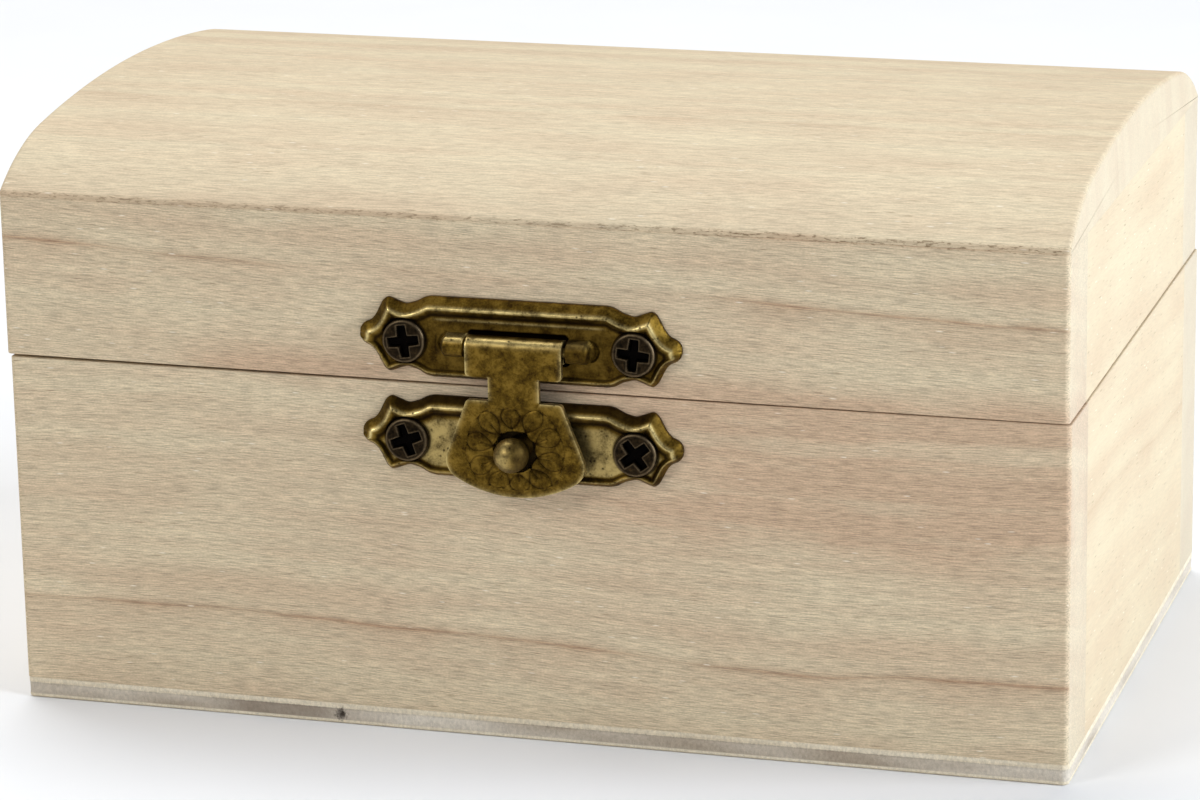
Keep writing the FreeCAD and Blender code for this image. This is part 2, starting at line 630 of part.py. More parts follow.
def lid():
    """Four glued rails under the arched top board, drilled for hasp and hinges."""
    height = "Sizes.lid_frame_height"
    front = long_board("lid_front_rail", height, LID_BOTTOM)
    screws = hasp_screw_places(LID_PLATE_HEIGHT, LID_BOTTOM)
    pilot_holes(front, screws, "Sizes.latch_screw_shank", HASP_PILOT)
    rear = long_board("lid_rear_rail", height, LID_BOTTOM, rear=True)
    pilot_holes(rear, hinge_screw_places("+", LID_BOTTOM), "Sizes.hinge_screw_shank", HINGE_PILOT)
    end_board("lid_left_end", height, LID_BOTTOM, -1)
    end_board("lid_right_end", height, LID_BOTTOM, 1)
    lid_top()


def hasp():
    """Two plates, the flap on its pin, the stud and four screws."""
    latch_lid_plate()
    pin_y = f"{FRONT} - Sizes.pin_standoff"
    wire("latch_hinge_pin", "Sizes.pin_radius", PIN_LENGTH, "0", pin_y, PIN_HEIGHT)
    latch_flap()
    latch_base_plate()
    latch_stud()
    one = hasp_screw()
    face = f"{FRONT} - Sizes.plate_sheet"
    lid_seats = seats(hasp_screw_places(LID_PLATE_HEIGHT), face, (8, -6))
    screw_group("latch_lid_screws", one, lid_seats)
    base_seats = seats(hasp_screw_places(BASE_PLATE_HEIGHT), face, (20, 37))
    screw_group("latch_base_screws", one, base_seats)


def hinges():
    """Two butt hinges across the rear seam, with four screws each."""
    for side, x in HINGE_X.items():
        hinge_leaf(f"hinge_{side}_base_leaf", x, -1)
        hinge_leaf(f"hinge_{side}_lid_leaf", x, 1)
        axis_y = f"{REAR} + {HINGE_AXIS_OFF}"
        length = "Sizes.hinge_length"
        wire(f"hinge_{side}_pin", "Sizes.hinge_pin_radius", length, x, axis_y, HINGE_AXIS_HEIGHT)
    one = screw("hinge")
    face = f"{REAR} + Sizes.hinge_sheet"
    unturned = (0, 0, 0, 0)
    screw_group("hinge_base_screws", one, seats(hinge_screw_places("-"), face, unturned), rear=True)
    screw_group("hinge_lid_screws", one, seats(hinge_screw_places("+"), face, unturned), rear=True)


def check():
    """Stop before anything is written if a feature failed or a piece isn't a sound solid."""
    doc.recompute()
    for thing in doc.Objects:
        if {"Invalid", "Error"} & set(thing.State):
            raise RuntimeError(f"{thing.Label} failed: {thing.State}")
    for piece in subparts:
        shape = piece.Shape
        if shape.isNull() or not shape.isValid() or not shape.Solids:
            raise RuntimeError(f"{piece.Label} has no sound solid")


def export():
    """Write each piece to its own file, named for the piece."""
    os.makedirs("parts", exist_ok=True)
    for piece in subparts:
        piece.Shape.exportStep(f"parts/{piece.Label}.step")
        print(f"{piece.Label}: {len(piece.Shape.Solids)} solid, {piece.Shape.Volume:.1f} mm3")


base()
lid()
hasp()
hinges()
check()
export()
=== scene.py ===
# %% [markdown]
# # A little wooden chest with a stamped brass hasp
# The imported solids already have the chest's sizes and joints. This lesson dresses them: softly sanded
# boards, an arched lid, a plywood bottom and a hasp with its rim, curl and engraved flower.
# Everything stays in the frame of the solids, so a piece is simply built where the real one sits.

# %% The frame
import json

import bmesh
import bpy
import numpy as np
from mathutils import Matrix, Quaternion, Vector


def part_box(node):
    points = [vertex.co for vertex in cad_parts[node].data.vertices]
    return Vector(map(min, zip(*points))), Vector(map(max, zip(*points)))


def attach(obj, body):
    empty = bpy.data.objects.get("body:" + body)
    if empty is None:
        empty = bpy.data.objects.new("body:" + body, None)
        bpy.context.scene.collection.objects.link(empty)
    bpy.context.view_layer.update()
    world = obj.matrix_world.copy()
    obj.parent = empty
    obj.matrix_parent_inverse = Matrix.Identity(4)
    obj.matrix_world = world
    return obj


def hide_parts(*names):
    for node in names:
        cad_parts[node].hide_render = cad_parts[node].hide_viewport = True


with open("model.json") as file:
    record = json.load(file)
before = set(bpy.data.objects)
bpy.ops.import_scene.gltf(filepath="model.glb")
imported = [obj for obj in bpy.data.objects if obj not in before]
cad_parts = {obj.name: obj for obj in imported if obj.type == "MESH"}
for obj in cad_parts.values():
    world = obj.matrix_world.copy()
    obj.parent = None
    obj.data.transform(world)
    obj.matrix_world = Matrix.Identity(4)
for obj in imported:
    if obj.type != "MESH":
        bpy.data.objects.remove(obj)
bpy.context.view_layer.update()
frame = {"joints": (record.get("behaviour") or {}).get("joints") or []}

# %% [markdown]
# ## From arrays to meshes
# Each new piece is a surface worked out with numpy: a grid of points, whose rows and columns are two
# parameters of a formula. Modifiers could round a plain box as well, but a formula also gives the
# values that the finishes need, such as how worn a spot is, at no extra cost.

# %% Grids
def cells(rows, columns, closed=False, first=0):
    """Corner numbers of the cells of a grid of points that is stored row by row.

    closed joins the last column to the first one; first is the number of the first point.
    """
    number = first + np.arange(rows * columns).reshape(rows, columns)
    if closed:
        number = np.column_stack([number, number[:, 0]])
    corner = [number[:-1, :-1], number[:-1, 1:], number[1:, 1:], number[1:, :-1]]
    return np.stack(corner, -1).reshape(-1, 4)


print("a grid of 3 by 4 points has", len(cells(3, 4)), "cells; as a ring", len(cells(3, 4, closed=True)))

# %% Pieces made of grids
MM = 0.001
MERGE = 1e-6


def piece(name, points, quads, body, node, slot, finish, **values):
    """Mesh object from points in millimetres and quads of their numbers.

    Points less than a micrometre apart become one, which closes seams and poles, and faces are turned
    outwards. Each further argument is an array that the finish reads at the points.
    """
    mesh = bpy.data.meshes.new(name)
    mesh.vertices.add(len(points))
    mesh.vertices.foreach_set("co", (points * MM).astype(np.float32).ravel())
    mesh.loops.add(quads.size)
    mesh.loops.foreach_set("vertex_index", quads.astype(np.int32).ravel())
    mesh.polygons.add(len(quads))
    mesh.polygons.foreach_set("loop_start", np.arange(0, quads.size, 4, dtype=np.int32))
    mesh.update(calc_edges=True)
    for key, array in values.items():
        kind, field = ("FLOAT", "value") if array.ndim == 1 else ("FLOAT_VECTOR", "vector")
        layer = mesh.attributes.new(key, kind, "POINT")
        layer.data.foreach_set(field, array.astype(np.float32).ravel())
    work = bmesh.new()
    work.from_mesh(mesh)
    bmesh.ops.remove_doubles(work, verts=work.verts, dist=MERGE)
    bmesh.ops.recalc_face_normals(work, faces=work.faces)
    work.to_mesh(mesh)
    work.free()
    mesh.polygons.foreach_set("use_smooth", np.ones(len(mesh.polygons), bool))
    mesh.materials.append(finish)
    made = bpy.data.objects.new(name, mesh)
    bpy.context.scene.collection.objects.link(made)
    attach(made, body)
    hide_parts(node)
    print(f"{name}: {len(mesh.polygons)} faces")
    return made


# %% Curves that many pieces use
def ease(low, high, value):
    """0 below low, 1 above high, and 3t^2 - 2t^3 of the way t between them."""
    t = np.clip((value - low) / (high - low), 0, 1)
    return t * t * (3 - 2 * t)


def hump(value, middle, width):
    """Bell curve: 1 at the middle, and exp(-(d / width)^2) at a distance d from it."""
    return np.exp(-((value - middle) / width) ** 2)


def smoothed(table, step, width, reach):
    """Columns of a padded table, averaged under a bell of a width, reach steps to each side."""
    weight = np.exp(-0.5 * (np.arange(-reach, reach + 1) * step / width) ** 2)
    return np.stack([np.convolve(column, weight / weight.sum(), "valid") for column in table.T], -1)


def inset(radius, distance):
    """How far a round of radius r has moved in at distance s from the edge: r - sqrt(r^2 - (r - s)^2)."""
    left = np.clip(radius - distance, 0, None)
    return radius - np.sqrt(np.clip(radius ** 2 - left ** 2, 0, None))


def circle(centre, radius, angle):
    """Points at angles on a circle in a plane."""
    return np.asarray(centre) + radius * np.stack([np.cos(angle), np.sin(angle)], -1)


print("a round of 1 mm, 0.5 mm from the edge, has moved in by", round(float(inset(1.0, 0.5)), 3), "mm")

# %% [markdown]
# ## Finishes
# Every finish is a node tree. Its colours are written as screen colours (sRGB) and turned to linear
# light. Its patterns stand in a table, with their sizes in millimetres of the real surface.

# %% One way to add a node
def srgb(code):
    """Linear colour from an sRGB hex code, by the standard's straight foot and 2.4 power."""
    part = np.array([int(code[i:i + 2], 16) for i in (1, 3, 5)]) / 255
    linear = np.where(part <= 0.04045, part / 12.92, ((part + 0.055) / 1.055) ** 2.4)
    return (*linear.tolist(), 1.0)


def join(tree, node, sockets):
    """Set sockets to values, or link them to a node's first output, or to a node and an output of it."""
    for key, value in sockets.items():
        link = (value, 0) if isinstance(value, bpy.types.Node) else value
        if isinstance(link, tuple) and isinstance(link[0], bpy.types.Node):
            tree.links.new(link[0].outputs[link[1]], node.inputs[key])
        else:
            node.inputs[key].default_value = link


def add(tree, kind, *inputs, stops=(), **settings):
    """Add a node of a kind: settings are its properties and inputs its sockets, in order or as one dict.

    stops are the positions and colours of a ramp.
    """
    node = tree.nodes.new("ShaderNode" + kind)
    for key, value in settings.items():
        setattr(node, key, value)
    for index, (position, colour) in enumerate(stops):
        element = node.color_ramp.elements[0] if index == 0 else node.color_ramp.elements.new(position)
        if index == 1:
            node.color_ramp.elements.remove(node.color_ramp.elements[-1])
        element.position = position
        element.color = colour
    as_dict = len(inputs) == 1 and isinstance(inputs[0], dict)
    join(tree, node, inputs[0] if as_dict else dict(enumerate(inputs)))
    return node


print("middle grey in linear light:", np.round(srgb("#808080")[0], 3))

# %% A finish and its patterns
def new_finish(name, **constants):
    """Empty finish with its shader; constants are set on the shader's own sockets."""
    finish = bpy.data.materials.new(name)
    finish.use_nodes = True
    shader = finish.node_tree.nodes["Principled BSDF"]
    for key, value in constants.items():
        shader.inputs[key.replace("_", " ")].default_value = value
    print("finish:", name)
    return finish, finish.node_tree, shader


def patterns(tree, place, table, unit=1.0):
    """Textures by name, from rows of (kind, size in millimetres along each axis, detail, roughness).

    unit is how long a millimetre is in the coordinates of place.
    """
    made = {}
    for name, (kind, size, detail, roughness) in table.items():
        scale = tuple(1 / (length * unit) for length in size)
        spot = add(tree, "VectorMath", place, scale, operation="MULTIPLY")
        made[name] = add(tree, kind, {"Vector": spot, "Scale": 1.0, "Detail": detail,
                                      "Roughness": roughness})
    return made


# %% [markdown]
# ### Sanded paulownia
# The boards are a light, soft, quick-grown wood, planed and sanded and left bare. Its growth rings are
# far apart, so a board shows only one or two reddish lines and a broad rosy band; between them the
# pores draw short dark dashes. The pattern is solid: it is worked out from the place in the board,
# along, across and into it, so it runs over an edge and turns to dots on the end grain by itself.

# %% Patterns of the wood
RING_PITCH, RING_LEAN, RING_WANDER, ROSY_BAND = 32.0, 0.35, 1.6, 4.5
# Darkness over one ring: the growth line is a sharp peak near its end.
RING_SHADE = ((0.0, 0.05), (0.03, 0.0), (0.88, 0.0), (0.95, 0.15), (0.966, 0.4), (0.973, 1.0),
              (0.981, 0.35), (1.0, 0.05))
# A noise wave is about twice its size and half of it is dark, so the dashes come out about 0.1 mm wide
# and 2 mm long, as the real ones are.
WOOD_PATTERNS = {
    "wander": ("TexNoise", (40, 26, 26), 2.0, 0.5),
    "uneven": ("TexNoise", (17, 6, 6), 3.0, 0.5),
    "fibre": ("TexNoise", (16, 0.5, 0.5), 3.0, 0.6),
    "dash": ("TexNoise", (2.0, 0.115, 0.115), 1.0, 0.5),
    "dust": ("TexNoise", (0.3, 0.16, 0.16), 1.0, 0.5),
    "tear": ("TexNoise", (0.8, 0.22, 0.22), 3.0, 0.6),
    "pore": ("TexVoronoi", (2.0, 0.2, 0.2), 0.0, 0.5),
    "fleck": ("TexVoronoi", (1.5, 0.24, 0.24), 0.0, 0.5),
}
print("wood:", len(WOOD_PATTERNS), "patterns, rings", RING_PITCH, "mm apart")


# %% Rings and rosy bands
def wood_rings(tree, grain, made, ringed, blush, pale, rosy, late):
    """Colour of the body wood with its growth lines, and the uneven strength of those lines.

    Rings wander a little along the board, and their dark line comes and goes. The rosy band shows
    where a board has one, and faintly everywhere along the rings.
    """
    place = add(tree, "SeparateXYZ", grain)
    drift = add(tree, "MapRange", made["wander"], 0.0, 1.0, -RING_WANDER, RING_WANDER)
    inward = add(tree, "Math", (place, 2), RING_LEAN, drift, operation="MULTIPLY_ADD")
    ring = add(tree, "Math", (place, 1), inward, operation="ADD")
    turn = add(tree, "Math", ring, RING_PITCH, operation="DIVIDE")
    share = add(tree, "Math", turn, operation="FRACT")
    latewood = add(tree, "ValToRGB", share, stops=[(at, (dark, dark, dark, 1)) for at, dark in RING_SHADE])
    strength = add(tree, "MapRange", made["uneven"], 0.35, 0.62, 0.3, 0.85)
    drawn = add(tree, "Math", strength, ringed, operation="MULTIPLY")
    line = add(tree, "Math", latewood, drawn, operation="MULTIPLY")
    band_place = add(tree, "Math", ring, 1 / ROSY_BAND, operation="MULTIPLY")
    band = add(tree, "TexNoise", {"W": band_place, "Scale": 1.0, "Detail": 3.0}, noise_dimensions="1D")
    patch = add(tree, "Math", band, made["uneven"], operation="ADD")
    faint = add(tree, "MapRange", patch, 0.8, 1.25, 0.0, 0.45)
    strong = add(tree, "MapRange", patch, 0.65, 1.15, 0.35, 1.0)
    here = add(tree, "Math", blush, strong, faint, operation="MULTIPLY_ADD", use_clamp=True)
    body = add(tree, "Mix", {0: here, 6: srgb(pale), 7: srgb(rosy)}, data_type="RGBA")
    return add(tree, "Mix", {0: line, 6: (body, 2), 7: srgb(late)}, data_type="RGBA"), strength


print("rosy bands about", 2 * ROSY_BAND, "mm apart, rings leaning by", RING_LEAN, "of the depth")

# %% Fibres, dashes and marks
QUIET_TONE, PORE_RARE, FLECK_RARE, TEAR_EDGE = 0.97, 0.86, 0.976, 2.4


def wood_fibres(tree, made, quiet, ground):
    """Ground shaded by long streaks of fibre, fine dashes and the grit of sanding; quiet fades them."""
    streak = add(tree, "MapRange", made["fibre"], 0.33, 0.67, 0.91, 1.07)
    mark = add(tree, "MapRange", made["dash"], 0.32, 0.6, 0.73, 1.1)
    grit = add(tree, "MapRange", made["dust"], 0.3, 0.7, 0.91, 1.09)
    lines = add(tree, "Math", streak, mark, operation="MULTIPLY")
    both = add(tree, "Math", lines, grit, operation="MULTIPLY")
    shade = add(tree, "Mix", {0: quiet, 2: both, 3: QUIET_TONE})
    return add(tree, "Mix", {0: 1.0, 6: (ground, 2), 7: shade}, data_type="RGBA", blend_type="MULTIPLY")


def wood_marks(tree, made, crease):
    """Pores in a few cells of a stretched cell pattern, a few torn flecks, and pits along the crease."""
    dash = add(tree, "MapRange", (made["pore"], "Distance"), 0.1, 0.4, 0.6, 0.0)
    pick = add(tree, "SeparateColor", (made["pore"], "Color"))
    chosen = add(tree, "MapRange", (pick, 0), PORE_RARE, 1.0)
    hole = add(tree, "Math", dash, chosen, operation="MULTIPLY")
    shape = add(tree, "MapRange", (made["fleck"], "Distance"), 0.1, 0.35, 0.75, 0.0)
    fleck_pick = add(tree, "SeparateColor", (made["fleck"], "Color"))
    rare = add(tree, "Math", (fleck_pick, 1), FLECK_RARE, operation="GREATER_THAN")
    fleck = add(tree, "Math", shape, rare, operation="MULTIPLY")
    torn = add(tree, "MapRange", made["tear"], 0.53, 0.64, 0.0, 0.8)
    torn_edge = add(tree, "Math", crease, TEAR_EDGE, operation="MULTIPLY", use_clamp=True)
    return hole, fleck, add(tree, "Math", torn, torn_edge, operation="MULTIPLY")


print(f"pores in {1 - PORE_RARE:.0%} of their cells, flecks in {1 - FLECK_RARE:.1%}")

# %% Wood finish
END_GREY, WOOD_BUMP = 0.4, 0.05


def wood_finish(name, pale, rosy, late, pore):
    """Bare wood: rings, bands, fibres, pores and torn flecks, dull and slightly rough.

    A board's values steer it: grain is the place in the tree, end the end grain, ringed how dark the
    growth lines are, quiet how little the fibres show, blush the rosy band, and crease the sanded edge
    of the arch, where fibres tear and rubbing browns the wood. End grain scatters more light, so it
    looks a little greyer.
    """
    finish, tree, shader = new_finish(name, Specular_IOR_Level=0.25)
    grain = (add(tree, "Attribute", attribute_name="grain"), "Vector")
    end, ringed, quiet, blush, crease = (
        (add(tree, "Attribute", attribute_name=value), "Fac")
        for value in ("end", "ringed", "quiet", "blush", "crease"))
    made = patterns(tree, grain, WOOD_PATTERNS)
    lined, strength = wood_rings(tree, grain, made, ringed, blush, pale, rosy, late)
    whole = wood_fibres(tree, made, quiet, lined)
    hole, fleck, tear = wood_marks(tree, made, crease)
    rubbed = add(tree, "Math", crease, strength, operation="MULTIPLY")
    dull = add(tree, "Math", end, END_GREY, operation="MULTIPLY")
    coats = ((hole, pore), (fleck, "#F6EDDA"), (rubbed, "#AE8A6A"), (tear, "#7D684A"), (dull, "#C8BCA6"))
    for share, tone in coats:
        whole = add(tree, "Mix", {0: share, 6: (whole, 2), 7: srgb(tone)}, data_type="RGBA")
    ripple = add(tree, "Math", made["fibre"], made["dash"], operation="ADD")
    rough = add(tree, "MapRange", ripple, 0.0, 2.0, 0.6, 0.88)
    height = ripple
    for share, lift in ((hole, -0.9), (tear, -1.6), (fleck, 0.9)):
        height = add(tree, "Math", share, lift, height, operation="MULTIPLY_ADD")
    bump = add(tree, "Bump", {"Height": height, "Strength": 0.5, "Distance": WOOD_BUMP * MM})
    join(tree, shader, {"Base Color": (whole, 2), "Roughness": rough, "Normal": bump})
    return finish


paulownia = wood_finish("sanded_paulownia", "#D6C5A5", "#C7AB8D", "#966B4C", "#7B6347")

# %% [markdown]
# ## Boards
# The chest is a box of boards 9 mm thick, glued edge to edge, with the long boards running through and
# their ends showing beside the end boards. A board is a rectangle with rounded corners, carried along
# its length; near each end the rectangle shrinks along a quarter circle, so the ends are rounded too.
# Sanding leaves a bigger round on the free corners than on the glued ones, so each edge has its own.

# %% Sizes of the solids
def corners(node):
    """Lowest and highest corner of a solid at rest, in millimetres."""
    return np.round(np.array(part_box(node)) / MM, 3)


front_wall, front_rail = corners("base_front_wall"), corners("lid_front_rail")
LENGTH, WALL = (front_wall[1] - front_wall[0])[:2]
half_x, half_y = LENGTH / 2, -front_wall[0, 1]
BOTTOM, BASE_TOP = front_wall[:, 2]
LID_FOOT, FRAME_TOP = front_rail[:, 2]
axes = {joint["name"]: np.round(np.array(joint["pos_m"]) / MM, 3) for joint in frame["joints"]}
print("chest:", LENGTH, "by", 2 * half_y, "mm, walls", WALL, "mm, seam at", BASE_TOP, "to", LID_FOOT)

# %% A board with sanded edges
QUARTER = np.linspace(0, np.pi / 2, 7)
SIDE_STOPS = np.concatenate([[0.012], np.linspace(0.05, 0.95, 15), [0.988]])
STATIONS, PAST_ROUND, END_GRAIN = 49, 0.25, 0.12
SWELL, SWELL_WAVE, SWELL_DRIFT = 0.22, 0.11, 0.043


def stations(reach, radius, count):
    """Distances along a board of a length: its two rounds, close together, and count places between."""
    near = radius * (1 - np.cos(QUARTER))
    middle = np.linspace(radius + PAST_ROUND, reach - radius - PAST_ROUND, count)
    return np.concatenate([[0.0], near, middle, reach - near[::-1], [reach]])


def board(low, high, along, edges, ends, seed):
    """Points, quads and end-grain values of a board between two corners.

    Section: four quarter circles of the radii in edges, joined by straight sides, counted from the low
    corner round to the left. Towards an end each side moves in by the round of its number in ends:
    foot, far side, top, near side. The edges' radii swell and shrink by a slow sine along the board,
    as hand sanding leaves them.
    """
    across = 1 - along
    reach = high[along] - low[along]
    station = stations(reach, max(ends), STATIONS)
    from_end = np.minimum(station, reach - station)
    foot, far, top, close = (inset(radius, from_end)[:, None] for radius in ends)
    a0, a1 = low[across] + close, high[across] - far
    b0, b1 = low[2] + foot, high[2] - top
    sway = np.sin(station * SWELL_WAVE + seed) * np.sin(station * SWELL_DRIFT + 2 * seed)
    swell = 1 + SWELL * sway[:, None]
    centres = ((a0, b0, 1, 1), (a1, b0, -1, 1), (a1, b1, -1, -1), (a0, b1, 1, -1))
    arcs = []
    for k, (a, b, a_in, b_in) in enumerate(centres):
        r = edges[k] * swell
        angle = np.pi + QUARTER + k * np.pi / 2
        arcs.append(np.stack([a + a_in * r + r * np.cos(angle), b + b_in * r + r * np.sin(angle)], -1))
    ring = []
    for k, arc in enumerate(arcs):
        following = arcs[(k + 1) % 4]
        step = SIDE_STOPS[None, :, None]
        ring += [arc, arc[:, -1:] * (1 - step) + following[:, :1] * step]
    section = np.concatenate(ring, 1)
    section[[0, -1]] = section[[0, -1]].mean(1, keepdims=True)
    rows, columns = section.shape[:2]
    points = np.empty((rows, columns, 3))
    points[..., along] = (low[along] + station)[:, None]
    points[..., across] = section[..., 0]
    points[..., 2] = section[..., 1]
    end = np.repeat(1 - ease(0.0, END_GRAIN, from_end), columns)
    return points.reshape(-1, 3), cells(rows, columns, closed=True), end


print("a board's section has", 4 * (len(QUARTER) + len(SIDE_STOPS)), "points")

# %% [markdown]
# ### The four walls and the four rails
# The lid sits a hair further to the left than the base, and the seam is wider at the left than at the
# right: both come from gluing and planing by hand, and the eye reads them as wood. Each board is cut
# from the tree at a place of its own, chosen so that its growth line falls where the real one's does.

# %% Place and tone of a board
BASE_STEP, LID_STEP, SEAM_SLOPE, SEAM_FADE = 0.35, 0.22, 0.12, 6.0
RING_LINE, LINE_SWING = 0.974 * RING_PITCH, 23.0


def seam(points):
    """Lift the lid's lower edge at the left and lower it at the right, fading out 6 mm above."""
    moved = points.copy()
    fade = 1 - ease(LID_FOOT, LID_FOOT + SEAM_FADE, points[:, 2])
    moved[:, 2] -= SEAM_SLOPE * points[:, 0] / half_x * fade
    return moved


def tree_place(points, along, outside, start, line, tilt, wave):
    """Millimetres along, across and into the tree.

    The growth line is at height line in the middle of the board's outer face, falls by tilt per
    millimetre, and swings by wave; start is where along the trunk the board was cut.
    """
    way = points[:, along]
    height = points[:, 2] - line + tilt * way + wave * np.sin(way / LINE_SWING)
    face = half_y if along == 0 else half_x
    depth = face - outside * points[:, 1 - along]
    return np.stack([way + start, height + RING_LINE, depth], -1)


def even(value):
    """The same value all over a board."""
    return lambda points: np.full(len(points), value)


def browning(points):
    """Browning of the crease, which grows towards the right end."""
    return 0.32 + 0.45 * ease(10, 45, points[:, 0])


def lines_at_ends(points):
    """Growth line of the lid's front: clear at both ends of the board, faint between them."""
    return 0.15 + 0.7 * (1 - ease(-42, -22, points[:, 0])) + 1.15 * ease(12, 42, points[:, 0])


def blush_right(points):
    """Rosy band on the right half of the base's front, from 22 mm up."""
    return 0.9 * ease(-15, 25, points[:, 0]) * ease(22, 27, points[:, 2]) + 0.1


def blush_foot(points):
    """Rosy band just over the seam, except at the left."""
    return 0.7 * (1 - ease(LID_FOOT, LID_FOOT + 4, points[:, 2])) * ease(-55, -25, points[:, 0]) + 0.1


lines_even, lines_faint, blush_none = even(0.8), even(0.2), even(0.0)
print("growth lines:", lines_at_ends(np.array([[-60.0], [0.0], [60.0]])), "at left, middle and right")

# %% Boards of base and lid
SEAM_EDGE, GLUED, CORNER = 0.14, 0.05, 0.6
QUIET_LONG, QUIET_END, REAR_GREY, LINE_FADE, CREASE_DEPTH = 0.0, 0.75, 1.6, 0.85, 0.3
LID_ALONG_TRUNK = 60


def wall(name, node, body, low, high, along, outside, blush, ringed, *cut):
    """One board; outside is 1 where its outer face is on the high side, -1 on the low side.

    cut is its place in the tree, as tree_place takes it; its first number also shifts the sanding.
    """
    foot_edge, top_edge = (SEAM_EDGE, GLUED) if body == "lid" else (GLUED, SEAM_EDGE)
    face = CORNER if along == 0 else GLUED
    ends = (foot_edge, face if outside > 0 else GLUED, top_edge, face if outside < 0 else GLUED)
    edges = (foot_edge, foot_edge, top_edge, top_edge)
    points, quads, end = board(low, high, along, edges, ends, cut[0])
    if body == "lid":
        points = seam(points)
    grain = tree_place(points, along, outside, *cut)
    top = ease(FRAME_TOP - CREASE_DEPTH, FRAME_TOP, points[:, 2]) * (body == "lid") * (along == 0)
    quiet = np.full(len(points), QUIET_LONG if along == 0 else QUIET_END)
    greyed = REAR_GREY if along == 0 and outside > 0 else 1.0
    return piece(name, points, quads, body, node, "box_wood", paulownia, grain=grain, end=greyed * end,
                 ringed=ringed(points) * (1 - LINE_FADE * end), quiet=quiet, blush=blush(points),
                 crease=top * (1 - end) * browning(points))


for body, foot, top, left, right, line in (
        ("base", BOTTOM, BASE_TOP, BASE_STEP - half_x, half_x, 11.4),
        ("lid", LID_FOOT, FRAME_TOP, -half_x, half_x - LID_STEP, 51.9)):
    lid = body == "lid"
    long_kind = "rail" if lid else "wall"
    blush, lines = (blush_foot, lines_at_ends) if lid else (blush_right, lines_even)
    near, far = WALL - half_y, half_y - WALL
    boards = (
        ("front", long_kind, (left, -half_y), (right, near), 0, -1, blush, lines,
         111.0, line, 0.03 * lid, 1.0 - lid),
        ("rear", long_kind, (left, far), (right, half_y), 0, 1, blush_none, lines_even,
         402.0, line + 9, 0.02, 0.8),
        ("left", "end", (left, near), (left + WALL, far), 1, -1, blush_none, lines_faint,
         653.0, line + 5, -0.03, 0.5),
        ("right", "end", (right - WALL, near), (right, far), 1, 1, blush_none, lines_faint,
         874.0, line + 14, 0.05, 0.5),
    )
    for side, kind, low, high, along, outside, rosy, ringed, start, *cut in boards:
        wall(f"{body}_{side}_board", f"{body}_{side}_{kind}", body, (*low, foot), (*high, top), along,
             outside, rosy, ringed, start + LID_ALONG_TRUNK * lid, *cut)

# %% [markdown]
# ### The arched top
# The lid's top is one solid board, flat below and planed to an arch above: a nearly flat crown between
# two rounder shoulders. The arch is an outline of two kinds of arc that touch, carried along the lid;
# the crease where it meets the front is sanded by smoothing the outline with a narrow bell curve.

# %% Outline of the arch
CREST = corners("lid_top")[1, 2]
CROWN_RADIUS, SHOULDER_RADIUS, ARCH_EDGE, CREASE_SANDING = 180.0, 26.0, 0.4, 0.22
ARC_POINTS, OUTLINE_STEPS, CREASE_STEPS, CREASE_PICKS, ARCH_PICKS = 200, 1600, 80, 60, 200


def arch_outline():
    """Outline of the arch from the front foot over the crest to the rear foot, finer at its creases.

    The crown's circle is centred under the crest. A shoulder's circle lies inside it and touches it,
    and passes through the top of the upright edge, which fixes its centre by the cosine rule.
    """
    crown = np.array([0.0, CREST - CROWN_RADIUS])
    edge = np.array([half_y, FRAME_TOP + ARCH_EDGE])
    apart = CROWN_RADIUS - SHOULDER_RADIUS
    reach = np.hypot(*(edge - crown))
    cosine = (reach ** 2 + apart ** 2 - SHOULDER_RADIUS ** 2) / (2 * apart * reach)
    lean = np.arcsin(edge[0] / reach) - np.arccos(cosine)
    shoulder = crown + apart * np.array([np.sin(lean), np.cos(lean)])
    start = np.arctan2(edge[1] - shoulder[1], edge[0] - shoulder[0])
    round_part = circle(shoulder, SHOULDER_RADIUS, np.linspace(start, np.pi / 2 - lean, ARC_POINTS))
    flat_part = circle(crown, CROWN_RADIUS, np.pi / 2 - np.linspace(lean, 0, ARC_POINTS)[1:])
    rear = np.concatenate([[[half_y, FRAME_TOP]], round_part, flat_part])
    whole = np.concatenate([rear[:-1] * [-1, 1], rear[::-1]])
    travel = np.concatenate([[0], np.cumsum(np.hypot(*np.diff(whole, axis=0).T))])
    equal = np.linspace(0, travel[-1], OUTLINE_STEPS + 1)
    line = np.stack([np.interp(equal, travel, whole[:, k]) for k in (0, 1)], -1)
    width = int(4 * CREASE_SANDING / equal[1])
    before, after = 2 * line[:1] - line[width:0:-1], 2 * line[-1:] - line[-2:-width - 2:-1]
    padded = np.concatenate([before, line, after])
    last = OUTLINE_STEPS - CREASE_STEPS
    pick = np.concatenate([np.linspace(0, CREASE_STEPS, CREASE_PICKS),
                           np.linspace(CREASE_STEPS, last, ARCH_PICKS),
                           np.linspace(last, OUTLINE_STEPS, CREASE_PICKS)])
    return smoothed(padded, equal[1], CREASE_SANDING, width)[np.unique(np.round(pick).astype(int))]


outline = arch_outline()
print("arch:", len(outline), "points, crest at", round(float(outline[:, 1].max()), 2), "mm")

# %% Arched board
ARCH_END, CAP_RING, ARCH_STATIONS, FLOOR_POINTS = 0.5, 0.985, 61, 10
ARCH_START, ARCH_TILT, ARCH_ACROSS, QUIET_ARCH = 1200, 0.012, 23, 0.34
CREASE_LIFT, CREASE_INNER, CREASE_OUTER, CREASE_CORE, CREASE_REACH = 0.25, 37.0, 37.6, 0.1, 0.5


